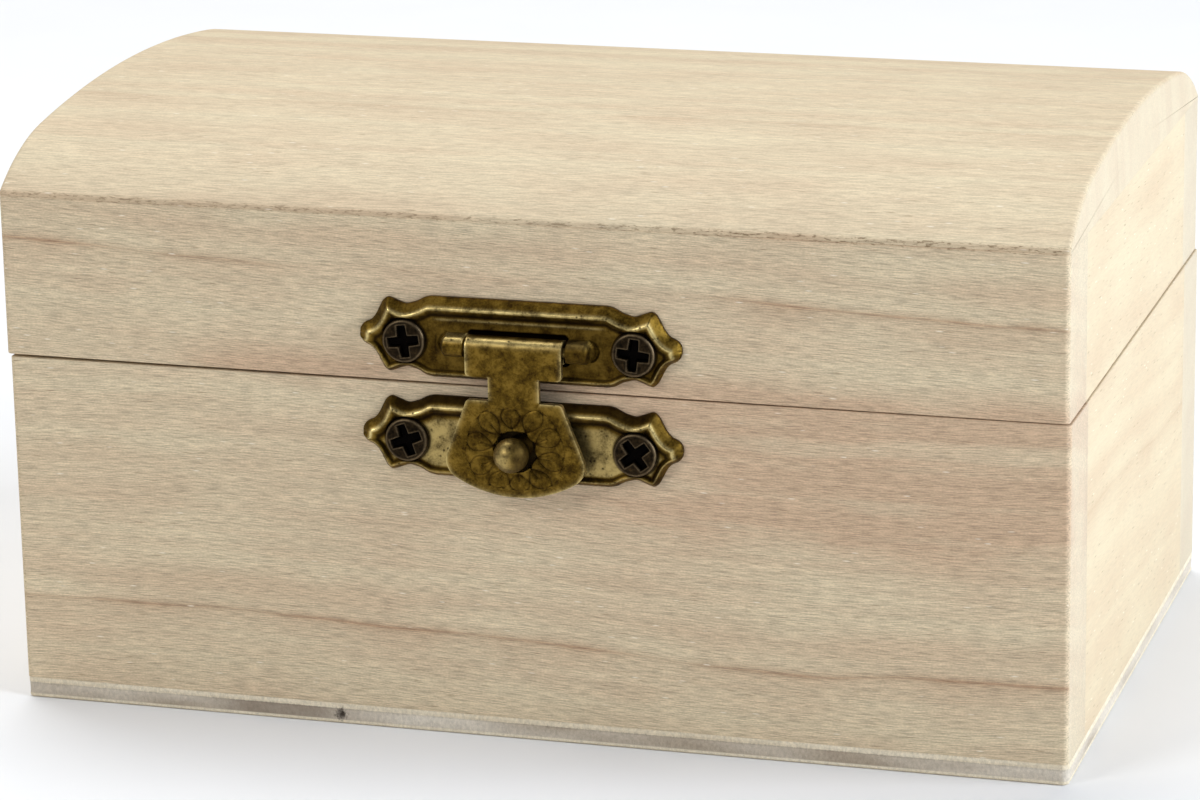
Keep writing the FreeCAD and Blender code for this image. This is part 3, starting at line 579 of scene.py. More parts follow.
def arched_board(line, reach):
    """The arch carried along; at the ends it moves in along its normals by a quarter circle."""
    slope = np.gradient(line, axis=0)
    normal = np.stack([-slope[:, 1], slope[:, 0]], -1) / np.hypot(*slope.T)[:, None]
    under = np.linspace(1, 0, FLOOR_POINTS)[1:-1, None]
    floor = line[:1] * (1 - under) + line[-1:] * under
    around = np.concatenate([line, floor])
    inward = np.concatenate([-normal, np.zeros_like(floor)])
    station = np.concatenate([[0.0], stations(reach, ARCH_END, ARCH_STATIONS), [reach]])
    from_end = np.minimum(station, reach - station)
    section = around[None] + inward[None] * inset(ARCH_END, from_end)[:, None, None]
    hub = section[[0, -1]].mean(1, keepdims=True)
    section[[0, -1]] = hub
    section[[1, -2]] = hub + CAP_RING * (section[[1, -2]] - hub)
    rows, columns = section.shape[:2]
    points = np.empty((rows, columns, 3))
    points[..., 0] = (station - half_x)[:, None]
    points[..., 1:] = section
    end = np.repeat(1 - ease(0.0, END_GRAIN, from_end), columns)
    return points.reshape(-1, 3), cells(rows, columns, closed=True), end


points, quads, end = arched_board(outline, LENGTH - LID_STEP)
across = points[:, 1] - ARCH_TILT * points[:, 0] + ARCH_ACROSS
arch_grain = np.stack([points[:, 0] + ARCH_START, across, points[:, 2]], -1)
from_crease = np.abs(points[:, 2] - FRAME_TOP - CREASE_LIFT)
crease = 1 - ease(CREASE_CORE, CREASE_REACH, from_crease)
crease *= ease(CREASE_INNER, CREASE_OUTER, np.abs(points[:, 1])) * (1 - end) * browning(points)
piece("lid_arch", points, quads, "lid", "lid_top", "box_wood", paulownia, grain=arch_grain, end=end,
      ringed=lines_faint(points), quiet=even(QUIET_ARCH)(points), blush=blush_none(points), crease=crease)

# %% [markdown]
# ### The plywood bottom
# A thin three-ply sheet of poplar is glued under the walls, sawn and left bare. Sawing leaves the soft
# core a little hollow between the two pale face plies, so the edge is a profile with two shallow
# grooves, carried round the sheet; the finish colours the plies by their height over the table.

# %% Plywood finish
PLY_LOW, PLY_HIGH, PLY_WAVER, PLY_RAMP = 0.42, 1.68, 0.16, 2.6
HEART, KNOT, KNOT_RAGGED = (-29.0, -38.0, 1.1), (-22.0, -38.0, 1.1), 2.2
PLY_PATTERNS = {
    "rough": ("TexNoise", (0.3, 0.3, 0.4), 5.0, 0.7),
    "stain": ("TexNoise", (16, 16, 4), 2.0, 0.5),
    "veneer": ("TexNoise", (22, 0.9, 0.9), 4.0, 0.6),
}


def plywood_finish():
    """Edge of poplar plywood by height over the table: pale faces, a grey-brown core and a knot.

    Beside the knot the core is stained brown; the knot's outline is ragged.
    """
    finish, tree, shader = new_finish("poplar_plywood", Specular_IOR_Level=0.2, Roughness=0.82)
    grain = (add(tree, "Attribute", attribute_name="grain"), "Vector")
    made = patterns(tree, grain, PLY_PATTERNS)
    rough = made["rough"]
    core_tone = add(tree, "ValToRGB", made["stain"], stops=[
        (0.3, srgb("#DCD2C1")), (0.5, srgb("#CABEAC")), (0.68, srgb("#AFA08C"))])
    spot = add(tree, "SeparateXYZ", grain)
    waver = add(tree, "Math", rough, PLY_WAVER, (spot, 2), operation="MULTIPLY_ADD")
    level = add(tree, "Math", waver, 1 / PLY_RAMP, operation="MULTIPLY")
    core = add(tree, "ValToRGB", level, stops=[
        (0.19, (0, 0, 0, 1)), (0.23, (1, 1, 1, 1)), (0.7, (1, 1, 1, 1)), (0.74, (0, 0, 0, 1))])
    streak = add(tree, "MapRange", made["veneer"], 0.3, 0.7, 0.2, 0.75)
    face_tone = add(tree, "Mix", {0: streak, 6: srgb("#F0E6D0"), 7: srgb("#D6C4A4")}, data_type="RGBA")
    layered = add(tree, "Mix", {0: core, 6: (face_tone, 2), 7: core_tone}, data_type="RGBA")
    mottle = add(tree, "MapRange", rough, 0.3, 0.7, 0.78, 1.14)
    whole = add(tree, "Mix", {0: 1.0, 6: (layered, 2), 7: mottle}, data_type="RGBA", blend_type="MULTIPLY")
    heart_way = add(tree, "VectorMath", grain, HEART, operation="DISTANCE")
    heart = add(tree, "MapRange", (heart_way, "Value"), 4.0, 10.0, 0.6, 0.0)
    heart_core = add(tree, "Math", heart, core, operation="MULTIPLY")
    knot_way = add(tree, "VectorMath", grain, KNOT, operation="DISTANCE")
    ragged = add(tree, "Math", rough, KNOT_RAGGED, (knot_way, "Value"), operation="MULTIPLY_ADD")
    knot = add(tree, "MapRange", ragged, 1.35, 1.9, 0.92, 0.0)
    for share, tone in ((heart_core, "#6E5A47"), (knot, "#1E140D")):
        whole = add(tree, "Mix", {0: share, 6: (whole, 2), 7: srgb(tone)}, data_type="RGBA")
    bump = add(tree, "Bump", {"Height": rough, "Strength": 0.7, "Distance": 0.12 * MM})
    join(tree, shader, {"Base Color": (whole, 2), "Normal": bump})
    return finish


plywood = plywood_finish()

# %% Plywood sheet
# Profile of the sawn edge from below: how far it is set in, and the height over the table.
SHEET_EDGE = np.array([
    (0.6, 0.0), (0.25, 0.02), (0.08, 0.1), (0.02, 0.22), (0.0, PLY_LOW - 0.06), (0.07, PLY_LOW),
    (0.04, PLY_LOW + 0.1), (0.06, 1.0), (0.04, PLY_HIGH - 0.1), (0.08, PLY_HIGH), (0.01, PLY_HIGH + 0.07),
    (0.0, 2.1), (0.02, 2.36), (0.06, BOTTOM)])
SHEET_CORNER, CORNER_POINTS, SIDE_POINTS = 0.8, 9, 120


def bottom_sheet():
    """Profile of the sawn edge carried round a rectangle with rounded corners, closed above and below."""
    path, outward = [], []
    run = np.linspace(0, 1, SIDE_POINTS + 2)[1:-1, None]
    for k, (x, y) in enumerate(((1, 1), (-1, 1), (-1, -1), (1, -1))):
        angle = np.linspace(0, np.pi / 2, CORNER_POINTS) + k * np.pi / 2
        way = circle((0, 0), 1, angle)
        centre = np.array([x * (half_x - SHEET_CORNER), y * (half_y - SHEET_CORNER)])
        path.append(centre + SHEET_CORNER * way)
        outward.append(way)
        reach = 2 * ((half_x if k % 2 == 0 else half_y) - SHEET_CORNER)
        path.append(path[-1][-1] + run * reach * circle((0, 0), 1, angle[-1] + np.pi / 2))
        outward.append(np.repeat(way[-1:], len(run), 0))
    path, outward = np.concatenate(path), np.concatenate(outward)
    rings = path[None] - outward[None] * SHEET_EDGE[:, 0][:, None, None]
    height = np.repeat(SHEET_EDGE[:, 1][:, None], len(path), 1)
    cap = np.zeros((1, len(path), 3))
    points = np.concatenate([cap, np.concatenate([rings, height[..., None]], -1), cap + [0, 0, BOTTOM]])
    return points.reshape(-1, 3), cells(len(points), len(path), closed=True)


points, quads = bottom_sheet()
points[:, 0] += BASE_STEP * (1 - ease(-half_x, 0.0, points[:, 0]))
piece("bottom_sheet", points, quads, "base", "bottom_panel", "plywood", plywood, grain=points)

# %% [markdown]
# ## The hasp
# The hasp is stamped from thin brass sheet and darkened in a bath; handling then rubs the high spots
# bright again. So each stamped piece carries two values at its points. One is wear, for rims and edges
# that fingers reach, and for a few spots painted lighter as painted highlights and reflections. The other
# is darkness, for the grooves where the dark stays, and for recesses, gaps and shaded sides painted dark
# as painted shade. The finish mixes its tones by them.

# %% Antique brass
BRASS_PATTERNS = {
    "cloud": ("TexNoise", (1.6, 1.6, 1.6), 4.0, 0.65),
    "fine": ("TexNoise", (0.22, 0.22, 0.22), 2.0, 0.5),
    "speck": ("TexVoronoi", (0.46, 0.46, 0.46), 0.0, 0.5),
}
FINE_SHARE, SPECK_RARE, SPECK_SUNK = 0.35, 0.77, -0.8


def brass_finish(name, dark, middle, light, bright, wear):
    """Darkened brass: clouded olive tones, dark specks and grooves, rubbed rims, and the painted shade and
    painted highlights that the dark and wear values carry.

    Metal has no colour of its own under the gloss, so the tones are what it reflects; rubbed spots are
    both lighter and smoother than the rest.
    """
    finish, tree, shader = new_finish(name, Metallic=1.0)
    made = patterns(tree, (add(tree, "TexCoord"), "Object"), BRASS_PATTERNS, unit=MM)
    worn, dirt = ((add(tree, "Attribute", attribute_name=value), "Fac") for value in ("worn", "dirt"))
    blend = add(tree, "Math", made["fine"], FINE_SHARE, made["cloud"], operation="MULTIPLY_ADD")
    ground = add(tree, "ValToRGB", blend, stops=[
        (0.5, srgb(dark)), (0.66, srgb(middle)), (0.83, srgb(light))])
    scuff = add(tree, "MapRange", blend, 0.5, 0.78, 0.25, wear)
    rubbed = add(tree, "Math", worn, scuff, operation="MULTIPLY")
    polished = add(tree, "Mix", {0: rubbed, 6: ground, 7: srgb(bright)}, data_type="RGBA")
    pick = add(tree, "SeparateColor", (made["speck"], "Color"))
    rare = add(tree, "Math", (pick, 0), SPECK_RARE, operation="GREATER_THAN")
    shape = add(tree, "MapRange", (made["speck"], "Distance"), 0.1, 0.42, 0.85, 0.0)
    spots = add(tree, "Math", rare, shape, operation="MULTIPLY")
    shown = add(tree, "MapRange", worn, 0.0, 0.4, 0.25, 1.0)
    speck = add(tree, "Math", spots, shown, operation="MULTIPLY")
    # Specks, and the dark value, which is partly painted shade, mix the tone towards near black.
    dark_spot_and_shade = add(tree, "Math", speck, dirt, operation="MAXIMUM")
    whole = add(tree, "Mix", {0: dark_spot_and_shade, 6: (polished, 2), 7: srgb("#1F1107")}, data_type="RGBA")
    rough = add(tree, "MapRange", made["fine"], 0.3, 0.7, 0.36, 0.54)
    for share, change in ((rubbed, -0.14), (dark_spot_and_shade, 0.25)):
        rough = add(tree, "Math", share, change, rough, operation="MULTIPLY_ADD")
    pit = add(tree, "Math", speck, SPECK_SUNK, blend, operation="MULTIPLY_ADD")
    bump = add(tree, "Bump", {"Height": pit, "Strength": 0.35, "Distance": 0.05 * MM})
    join(tree, shader, {"Base Color": (whole, 2), "Roughness": rough, "Normal": bump})
    return finish


antique_brass = brass_finish("antique_brass_stamped", "#38280C", "#5F4918", "#816629", "#DCC687", 1.0)

# %% [markdown]
# ### The two plates
# A plate has straight long edges, a hollow beside each end, a lobe and a knobbed tip. Its rim is pressed
# up from behind, broad along the top and narrow elsewhere. A grid follows the outline from tip to tip,
# and the height of each point is read from its distance to the outline, as a mould maker would draw it.

# %% Outline of a plate
TIP, TIP_ROUND, OUTLINE_SANDING, TABLE_STEPS, SANDING_STEPS = 18.1, 0.95, 0.2, 2896, 64
# Half height along each end: straight edge, hollow, lobe, a hollow run outwards and a small round knob.
END_X = np.array([0.0, 9.9, 10.6, 11.6, 12.8, 13.9, 14.8, 15.35, 15.75, 16.2, 16.8, 17.3, TIP])
END_HALF = np.array([4.5, 4.5, 4.35, 3.8, 3.45, 3.85, 4.2, 3.85, 3.05, 2.1, 1.45, 1.25, 1.2])


def plate_edge(x):
    """Half height of a plate at x: the table's runs, smoothed by a bell curve, with a round tip."""
    table = np.linspace(-TIP, TIP, TABLE_STEPS + 1)
    reach = np.abs(table)
    half = np.pad(np.interp(reach, END_X, END_HALF), SANDING_STEPS, "edge")
    half = smoothed(half[:, None], table[1] - table[0], OUTLINE_SANDING, SANDING_STEPS)[:, 0]
    to_tip = np.clip((reach - (TIP - TIP_ROUND)) / TIP_ROUND, 0, 1)
    return np.interp(x, table, half * np.sqrt(1 - to_tip ** 2))


print("half height at middle, hollow, lobe, tip:", np.round(plate_edge(np.array([0, 12.6, 14.8, TIP])), 2))

# %% Rim and screw seats of a plate
PLATE_FIELD, PLATE_EDGE, CREST_TOP, CREST_FOOT = 0.7, 0.32, 1.5, 1.05
RIM_TOP, RIM_FOOT, CLIMB_POWER, FALL_END = 1.12, 0.5, 0.75, 2.05
KNOB_FROM, KNOB_TO, KNOB_DROP, KNOB_RISE = 13.5, 16.0, 0.25, 0.2
RUB_AT, RUB_WIDTH, RUB_TOP, RUB_FOOT = 0.97, 0.17, 1.0, 0.5
GROOVE_AT, GROOVE_WIDTH, GROOVE_TOP, GROOVE_FOOT = 1.75, 0.3, 0.9, 0.8
SEAT_X, SEAT_Z, SEAT_RADIUS, SEAT_FROM, SEAT_TO = 12.9, -0.5, 2.48, -0.05, 0.18
SEAT_LINE, SEAT_LINE_AT, SEAT_LINE_WIDTH = 0.9, 0.02, 0.16


def near_line(x, z, line):
    """Distance from each point of a grid to the nearest of a line's points."""
    return np.sqrt(((x[..., None] - line[:, 0]) ** 2 + (z[..., None] - line[:, 1]) ** 2).min(-1))


def plate_rim(x, z):
    """Height, wear and dirt of rim and screw seats, with the way in from the outline in rim widths.

    From the outline inwards the rim climbs to its crest in one rim width and falls to the field in the
    next; the nearer of the top and bottom outline decides. Screw seats are level with the field.
    """
    along = np.linspace(-TIP, TIP, 701)
    edge = plate_edge(along)
    top = near_line(x, z, np.stack([along, edge], -1)) / RIM_TOP
    foot = near_line(x, z, np.stack([along, -edge], -1)) / RIM_FOOT
    upper = top < foot
    way = np.where(upper, top, foot)
    knob = ease(KNOB_FROM, KNOB_TO, np.abs(x))
    crest = np.where(upper, CREST_TOP - KNOB_DROP * knob, CREST_FOOT + KNOB_RISE * knob)
    climb = PLATE_EDGE + (crest - PLATE_EDGE) * np.clip(way, 0, 1) ** CLIMB_POWER
    fall = PLATE_FIELD + (crest - PLATE_FIELD) * (1 - ease(1.0, FALL_END, way))
    height = np.where(way < 1, climb, fall)
    worn = hump(way, RUB_AT, RUB_WIDTH) * np.where(upper, RUB_TOP, RUB_FOOT)
    dirt = hump(way, GROOVE_AT, GROOVE_WIDTH) * np.where(upper, GROOVE_TOP, GROOVE_FOOT)
    from_screw = np.hypot(np.abs(x) - SEAT_X, z - SEAT_Z) - SEAT_RADIUS
    seat = 1 - ease(SEAT_FROM, SEAT_TO, from_screw)
    height = height + (PLATE_FIELD - height) * seat
    seat_line = SEAT_LINE * hump(from_screw, SEAT_LINE_AT, SEAT_LINE_WIDTH)
    return height, worn * (1 - seat), np.maximum(dirt * (1 - seat), seat_line), way, upper, knob


print("rim over the wood:", CREST_TOP, "mm along the top,", CREST_FOOT, "mm along the foot")

# %% Pin seats and trough of the upper plate
TROUGH_HALF, TROUGH_LOW, TROUGH_HIGH, TROUGH_ROUND, TROUGH_FLOOR = 5.75, -2.3, 1.1, 0.7, 0.06
BUMP_END, BUMP_RADIUS, BUMP_CAP = 8.4, 1.2, 0.6
WOOD_FRONT, (PIN_Y, PIN_HEIGHT) = -half_y, axes["flap_hinge"][1:]
UPPER_PLATE_Z, LOWER_PLATE_Z = (corners(f"latch_{part}_plate")[:, 2].mean() for part in ("lid", "base"))
PIN_OFF, PIN_Z = WOOD_FRONT - PIN_Y, PIN_HEIGHT - UPPER_PLATE_Z
FIELD_DARK, BUMP_SWELL, SWELL_REACH, LIP_SHADE, LIP_FADE = 0.38, 0.22, 1.1, 0.9, 0.25
SEAT_SHADOW, SHADOW_BELOW, SHADOW_WIDTH, SEAT_RUB_LIT, SEAT_RUB_SHADED = 0.25, 0.3, 0.2, 0.7, 0.2


def pin_seats(x, z, height, worn, dirt):
    """Two half-round seats for the wire with rounded ends; beside them the field swells a little. A shadow
    is painted round each seat, the left seat's top is rubbed much lighter as a painted highlight, and the
    right seat is painted dark as shade.
    """
    out, up = np.abs(x), z - PIN_Z
    cap = np.clip((out - (BUMP_END - BUMP_CAP)) / BUMP_CAP, 0, 1)
    girth = BUMP_RADIUS * np.sqrt(1 - cap ** 2)
    lift = PIN_OFF + np.sqrt(np.clip(girth ** 2 - up ** 2, 0, None))
    on_bump = (np.abs(up) < girth) & (out < BUMP_END)
    from_bump = np.hypot(np.clip(out - BUMP_END + BUMP_CAP, 0, None), up) - BUMP_RADIUS
    swell = (1 - ease(0.0, SWELL_REACH, np.abs(from_bump))) * (out < BUMP_END + 1)
    height = np.where(on_bump, lift, height + BUMP_SWELL * swell * (from_bump > 0))
    shadow = SEAT_SHADOW + SHADOW_BELOW * ease(0.3, -0.3, up / BUMP_RADIUS)
    shadow = np.maximum(dirt, shadow * hump(from_bump, 0.0, SHADOW_WIDTH))
    # Painted light and shade: the seats' tops are rubbed, the left one far more as a painted highlight,
    # and the right seat is painted dark as shade.
    seat_rub_and_light = np.where(x < 0, SEAT_RUB_LIT, SEAT_RUB_SHADED) * ease(0.3, 1.0, up / BUMP_RADIUS)
    return height, np.where(on_bump, seat_rub_and_light, worn), np.where(on_bump, FIELD_DARK * (x > 0), shadow)


def curl_trough(x, z, height, worn, dirt):
    """Trough for the flap's curl, where the signed distance to a rounded rectangle is negative; its floor
    is painted black as the shade of a deep window, and painted shade fades out from its lip.
    """
    side = np.abs(x) - TROUGH_HALF + TROUGH_ROUND
    rise = np.abs(z - (TROUGH_LOW + TROUGH_HIGH) / 2) - (TROUGH_HIGH - TROUGH_LOW) / 2 + TROUGH_ROUND
    out = np.hypot(np.clip(side, 0, None), np.clip(rise, 0, None))
    gap = out + np.minimum(np.maximum(side, rise), 0) - TROUGH_ROUND
    trough = gap < 1e-6
    # Painted shade: black in the trough, fading out from its lip.
    lip = LIP_SHADE * np.exp(-np.clip(gap, 0, None) / LIP_FADE) * (np.abs(x) < TROUGH_HALF - 0.1)
    dirt = np.where(trough, 1.0, np.maximum(dirt, lip))
    return np.where(trough, TROUGH_FLOOR, height), np.where(trough, 0.0, worn), dirt


print("trough", 2 * TROUGH_HALF, "mm long, pin seats to", BUMP_END, "mm, pin", round(PIN_OFF, 2), "mm out")

# %% Relief of a plate
STEP_LINE, STEP_WIDTH, STEP_RISE, STEP_RUB, STEP_FROM, STEP_TO = 2.2, 0.12, 0.08, 0.5, 8.5, 10.0
FIELD_RUB_AND_SHEEN, STUD_SHADE, STUD_FROM, STUD_TO, SLOPE_SHADE, KNOB_CLEAR = 0.44, 0.92, 2.6, 3.6, 0.8, 0.7


def plate_relief(x, z, window):
    """Height, wear and darkness over a plate, partly painted light and shade.

    The upper plate has a dark field, a faint second step along its upper rim, and a trough for
    the flap's curl, painted black as shade, between two pin seats. The lower plate's field is rubbed and
    painted paler as a reflection, with painted shade round the stud and a painted dark reflection on the
    rim's upper slope.
    """
    height, worn, dirt, way, upper, knob = plate_rim(x, z)
    if window:
        dirt = np.maximum(dirt, FIELD_DARK * ease(1.9, 2.3, way))
        step = hump(way, STEP_LINE, STEP_WIDTH) * upper * (1 - ease(STEP_FROM, STEP_TO, np.abs(x)))
        height, worn = height + STEP_RISE * step, np.maximum(worn, STEP_RUB * step)
        return curl_trough(x, z, *pin_seats(x, z, height, worn, dirt))
    # The lower field is rubbed, and painted paler as a painted reflection.
    worn = np.maximum(worn, FIELD_RUB_AND_SHEEN * ease(2.0, 2.6, way))
    # Painted shade round the stud, which shows as a dark ring in the gap of the flap's hole.
    shade_at_stud = STUD_SHADE * (1 - ease(STUD_FROM, STUD_TO, np.hypot(x, z - SEAT_Z)))
    # Painted dark reflection of the dim sky on the rim's upward slope, less at the knobs.
    slope = SLOPE_SHADE * upper * (1 - ease(0.5, 0.8, way)) * (1 - KNOB_CLEAR * knob)
    return height, worn, np.maximum.reduce([dirt, shade_at_stud, slope])


down = np.linspace(4.4, -4.4, 9)[None]
print("lower plate, heights down its middle:", np.round(plate_relief(0 * down, down, False)[0][0], 2))

# %% Plates in place
PLATE_COLUMNS, PLATE_ROWS, BACK_STEP, CROWDING = 341, 81, 8, 0.12


def stamped_plate(name, node, body, middle, window):
    """Closed shell: each column runs up the front at the relief's height and down the flat back.

    Columns crowd towards the tips, where the outline turns fast.
    """
    share = np.linspace(-1, 1, PLATE_COLUMNS)
    x_line = TIP * share * (1 + CROWDING - CROWDING * share ** 2)
    x = np.repeat(x_line[:, None], PLATE_ROWS, 1)
    z = plate_edge(x_line)[:, None] * np.linspace(-1, 1, PLATE_ROWS)
    height, worn, dirt = plate_relief(x, z, window)
    back = slice(None, None, -BACK_STEP)
    front = np.stack([x, WOOD_FRONT - height, z + middle], -1)
    rear = np.stack([x, np.full_like(x, WOOD_FRONT), z + middle], -1)[:, back]
    points = np.concatenate([front, rear], 1)
    worn, dirt = (np.concatenate([value, value[:, back]], 1).ravel() for value in (worn, dirt))
    quads = cells(*points.shape[:2], closed=True)
    return piece(name, points.reshape(-1, 3), quads, body, node, "antique_brass", antique_brass, worn=worn,
                 dirt=dirt)


stamped_plate("hasp_upper_plate", "latch_lid_plate", "lid", UPPER_PLATE_Z, True)
stamped_plate("hasp_lower_plate", "latch_base_plate", "base", LOWER_PLATE_Z, False)

# %% [markdown]
# ### The flap
# The flap is a cut sheet: a block whose top is curled round the wire pin, a neck, and a bell with a
# hole for the stud. Only the sheet's middle surface is drawn, in three grids that share their seam
# points; Solidify then gives it the sheet's thickness and Bevel breaks its sharp edges.
# A flower of ten plain petals is engraved round the hole: its lines press the surface in.

# %% Outline of the bell
NECK_HALF, BELL_TOP, CUT_ROUND = 2.85, 39.45, 0.45
BELL_SHOULDER, BELL_CORNER, BELL_HALF, BELL_ARC = 5.45, 2.2, 7.8, 13.0
BELL_FOOT = corners("latch_flap")[0, 2]


def bell_outline(neck_x):
    """Outline of the bell, once round: neck, shoulder, side, corner, round foot, and mirrored back.

    The corner's circle touches the foot's circle from inside and the side's straight line.
    """
    corner_x = BELL_HALF - BELL_CORNER
    arc_z = BELL_FOOT + BELL_ARC
    corner_z = arc_z - np.sqrt((BELL_ARC - BELL_CORNER) ** 2 - corner_x ** 2)
    way = np.array([BELL_SHOULDER - corner_x, BELL_TOP - corner_z])
    touch = np.arctan2(way[1], way[0]) - np.arccos(BELL_CORNER / np.hypot(*way))
    leave = np.arctan2(corner_z - arc_z, corner_x)
    corner = circle((corner_x, corner_z), BELL_CORNER, np.linspace(touch, leave, 40))
    foot = circle((0, arc_z), BELL_ARC, np.linspace(leave, -np.pi / 2, 60)[1:])
    inner = (BELL_SHOULDER - CUT_ROUND, BELL_TOP - CUT_ROUND)
    rounding = circle(inner, CUT_ROUND, np.linspace(np.pi / 2, touch, 9))
    side = rounding[-1] + np.linspace(0, 1, 36)[1:-1, None] * (corner[0] - rounding[-1])
    flat = np.linspace(NECK_HALF, BELL_SHOULDER - CUT_ROUND, 14)[1:-1]
    shoulder = np.stack([flat, np.full_like(flat, BELL_TOP)], -1)
    right = np.concatenate([shoulder, rounding, side, corner, foot])
    left = right[-2::-1] * [-1, 1]
    neck = np.stack([neck_x, np.full_like(neck_x, BELL_TOP)], -1)
    return np.concatenate([neck, right, left])


print("bell from", BELL_FOOT, "to", BELL_TOP, "mm over the table")

# %% Engraved flower
PETAL_STEP, PETAL_TURN, PETAL_ROOT, PETAL_TIP = np.pi / 5, 0.2, 2.4, 5.5
PETAL_WIDTH, PETAL_LINE, PETAL_SWELL, PETAL_MARGIN, VEIN_END = 1.05, 0.19, 1.7, 0.86, 0.55


def petals(x, z, reach):
    """Depth of the engraved flower: 1 on the outline of a drop-shaped petal and on its vein, 0 elsewhere.

    A petal's half width is the root of a sine that swells towards its round tip; dividing by the slope
    of that width keeps the line equally broad. The vein runs up the petal's inner half.
    """
    way, angle = np.hypot(x, z), np.arctan2(z, x) + PETAL_TURN
    nearest = (angle / PETAL_STEP - np.round(angle / PETAL_STEP)) * PETAL_STEP
    length = np.minimum(PETAL_MARGIN * reach, PETAL_TIP) - PETAL_ROOT
    share = (way - PETAL_ROOT) / length
    aside = np.abs(way * np.sin(nearest))
    t = np.clip(share, 0.002, 0.998)
    swell = np.sin(np.pi * t ** PETAL_SWELL)
    width = PETAL_WIDTH * np.sqrt(swell)
    rate = np.pi * PETAL_SWELL * t ** (PETAL_SWELL - 1) * np.cos(np.pi * t ** PETAL_SWELL) / (2 * swell)
    slope = np.hypot(1, width * rate / length)
    outline = hump((aside - width) / slope, 0.0, PETAL_LINE) * (share > 0) * (share < 1.05)
    return np.maximum(outline, hump(aside, 0.0, PETAL_LINE) * (share < VEIN_END))


print("flower:", round(2 * np.pi / PETAL_STEP), "petals, lines about", 2 * PETAL_LINE, "mm broad")

# %% Sheet of the flap
FLAP_SHEET, CURL_RADIUS, CURL_START, BLOCK_HALF, BLOCK_FOOT = 0.65, 0.985, -1.8, 5.4, 42.05
HOLE_Z, HOLE_RADIUS = corners("latch_stud")[:, 2].mean(), 2.35
ENGRAVING, BELL_ROWS, CROWN_AT, CROWN_WIDTH, FAR = 0.2, 71, 2.35, 0.35, 9.0
EDGE_RUB, BLOCK_RUB, CROWN_RUB, NECK_RUB, BELL_RUB, HANDLED = 0.16, 0.85, 0.7, 0.7, 0.75, 0.1
FLAP_Y = PIN_Y - CURL_RADIUS


def flap_block(block_x):
    """Curled block of the flap and its wear: a path round the pin and down, with rounded lower corners."""
    turn = np.linspace(CURL_START, np.pi, 49)
    drop = np.linspace(PIN_HEIGHT, BLOCK_FOOT, 27)[1:]
    path = np.concatenate([circle((PIN_Y, PIN_HEIGHT), CURL_RADIUS, turn),
                           np.stack([np.full_like(drop, FLAP_Y), drop], -1)])
    from_foot = np.concatenate([np.full(len(turn), FAR), drop - BLOCK_FOOT])
    outer = np.clip(np.abs(block_x) - NECK_HALF, 0, None) / (BLOCK_HALF - NECK_HALF)
    x = block_x[None] - np.sign(block_x)[None] * outer[None] * inset(CUT_ROUND, from_foot)[:, None]
    block = np.stack([x, *(np.repeat(path[:, k:k + 1], len(block_x), 1) for k in (0, 1))], -1)
    crown = np.concatenate([hump(turn, CROWN_AT, CROWN_WIDTH), np.zeros(len(drop))])[:, None]
    edge = BLOCK_RUB * np.exp(-(BLOCK_HALF - np.abs(block_x)) / EDGE_RUB)
    return block, np.maximum(edge[None], CROWN_RUB * crown)


def flap_bell(neck_x):
    """Bell of the flap with its wear and dirt: straight lines from the hole's circle to the outline."""
    outline = bell_outline(neck_x)
    hole_at = np.array([0.0, HOLE_Z])
    angle = np.arctan2(outline[:, 1] - HOLE_Z, outline[:, 0])
    share = np.linspace(0, 1, BELL_ROWS)[:, None, None]
    flat = circle(hole_at, HOLE_RADIUS, angle) * (1 - share) + outline * share
    reach = np.repeat(np.hypot(*(outline - hole_at).T)[None], BELL_ROWS, 0)
    x, z = flat[..., 0], flat[..., 1]
    groove = petals(x, z - HOLE_Z, reach)
    bell = np.stack([x, FLAP_Y + ENGRAVING * groove, z], -1)
    from_edge = (BELL_ROWS - 1 - np.arange(BELL_ROWS))[:, None] / BELL_ROWS * (reach - HOLE_RADIUS)
    from_edge = from_edge + FAR * (np.arange(len(outline)) < len(neck_x))
    handled = HANDLED * (1 - ease(PETAL_TIP - 1.0, PETAL_TIP + 0.8, np.hypot(x, z - HOLE_Z)))
    return bell, BELL_RUB * np.exp(-from_edge / EDGE_RUB), np.maximum(groove, handled)


print("flap's middle surface", round(WOOD_FRONT - FLAP_Y, 3), "mm before the wood")

# %% Flap in place
FLAP_BREAK, BREAK_SEGMENTS, SHARP = 0.09, 2, 50


def sheet_metal(made, thickness, edge):
    """Give a middle surface the thickness of its sheet and break its sharp edges."""
    sheet = made.modifiers.new("sheet", "SOLIDIFY")
    sheet.thickness, sheet.offset = thickness * MM, 0.0
    broken = made.modifiers.new("broken_edges", "BEVEL")
    broken.width, broken.segments = edge * MM, BREAK_SEGMENTS
    broken.limit_method, broken.angle_limit = "ANGLE", np.radians(SHARP)


side = np.linspace(NECK_HALF, BLOCK_HALF, 13)
neck_x = np.linspace(-NECK_HALF, NECK_HALF, 27)
neck_z = np.linspace(BLOCK_FOOT, BELL_TOP, 14)
block, block_worn = flap_block(np.concatenate([-side[:0:-1], neck_x, side[1:]]))
neck = np.stack(np.broadcast_arrays(neck_x[None], FLAP_Y, neck_z[:, None]), -1)
neck_worn = np.repeat(NECK_RUB * np.exp(-(NECK_HALF - np.abs(neck_x)) / EDGE_RUB)[None], len(neck_z), 0)
bell, bell_worn, bell_dirt = flap_bell(neck_x)
quads, first = [], 0
for grid, closed in ((block, False), (neck, False), (bell, True)):
    quads.append(cells(*grid.shape[:2], closed=closed, first=first))
    first += grid.shape[0] * grid.shape[1]
points = np.concatenate([grid.reshape(-1, 3) for grid in (block, neck, bell)])
worn = np.concatenate([part.ravel() for part in (block_worn, neck_worn, bell_worn)])
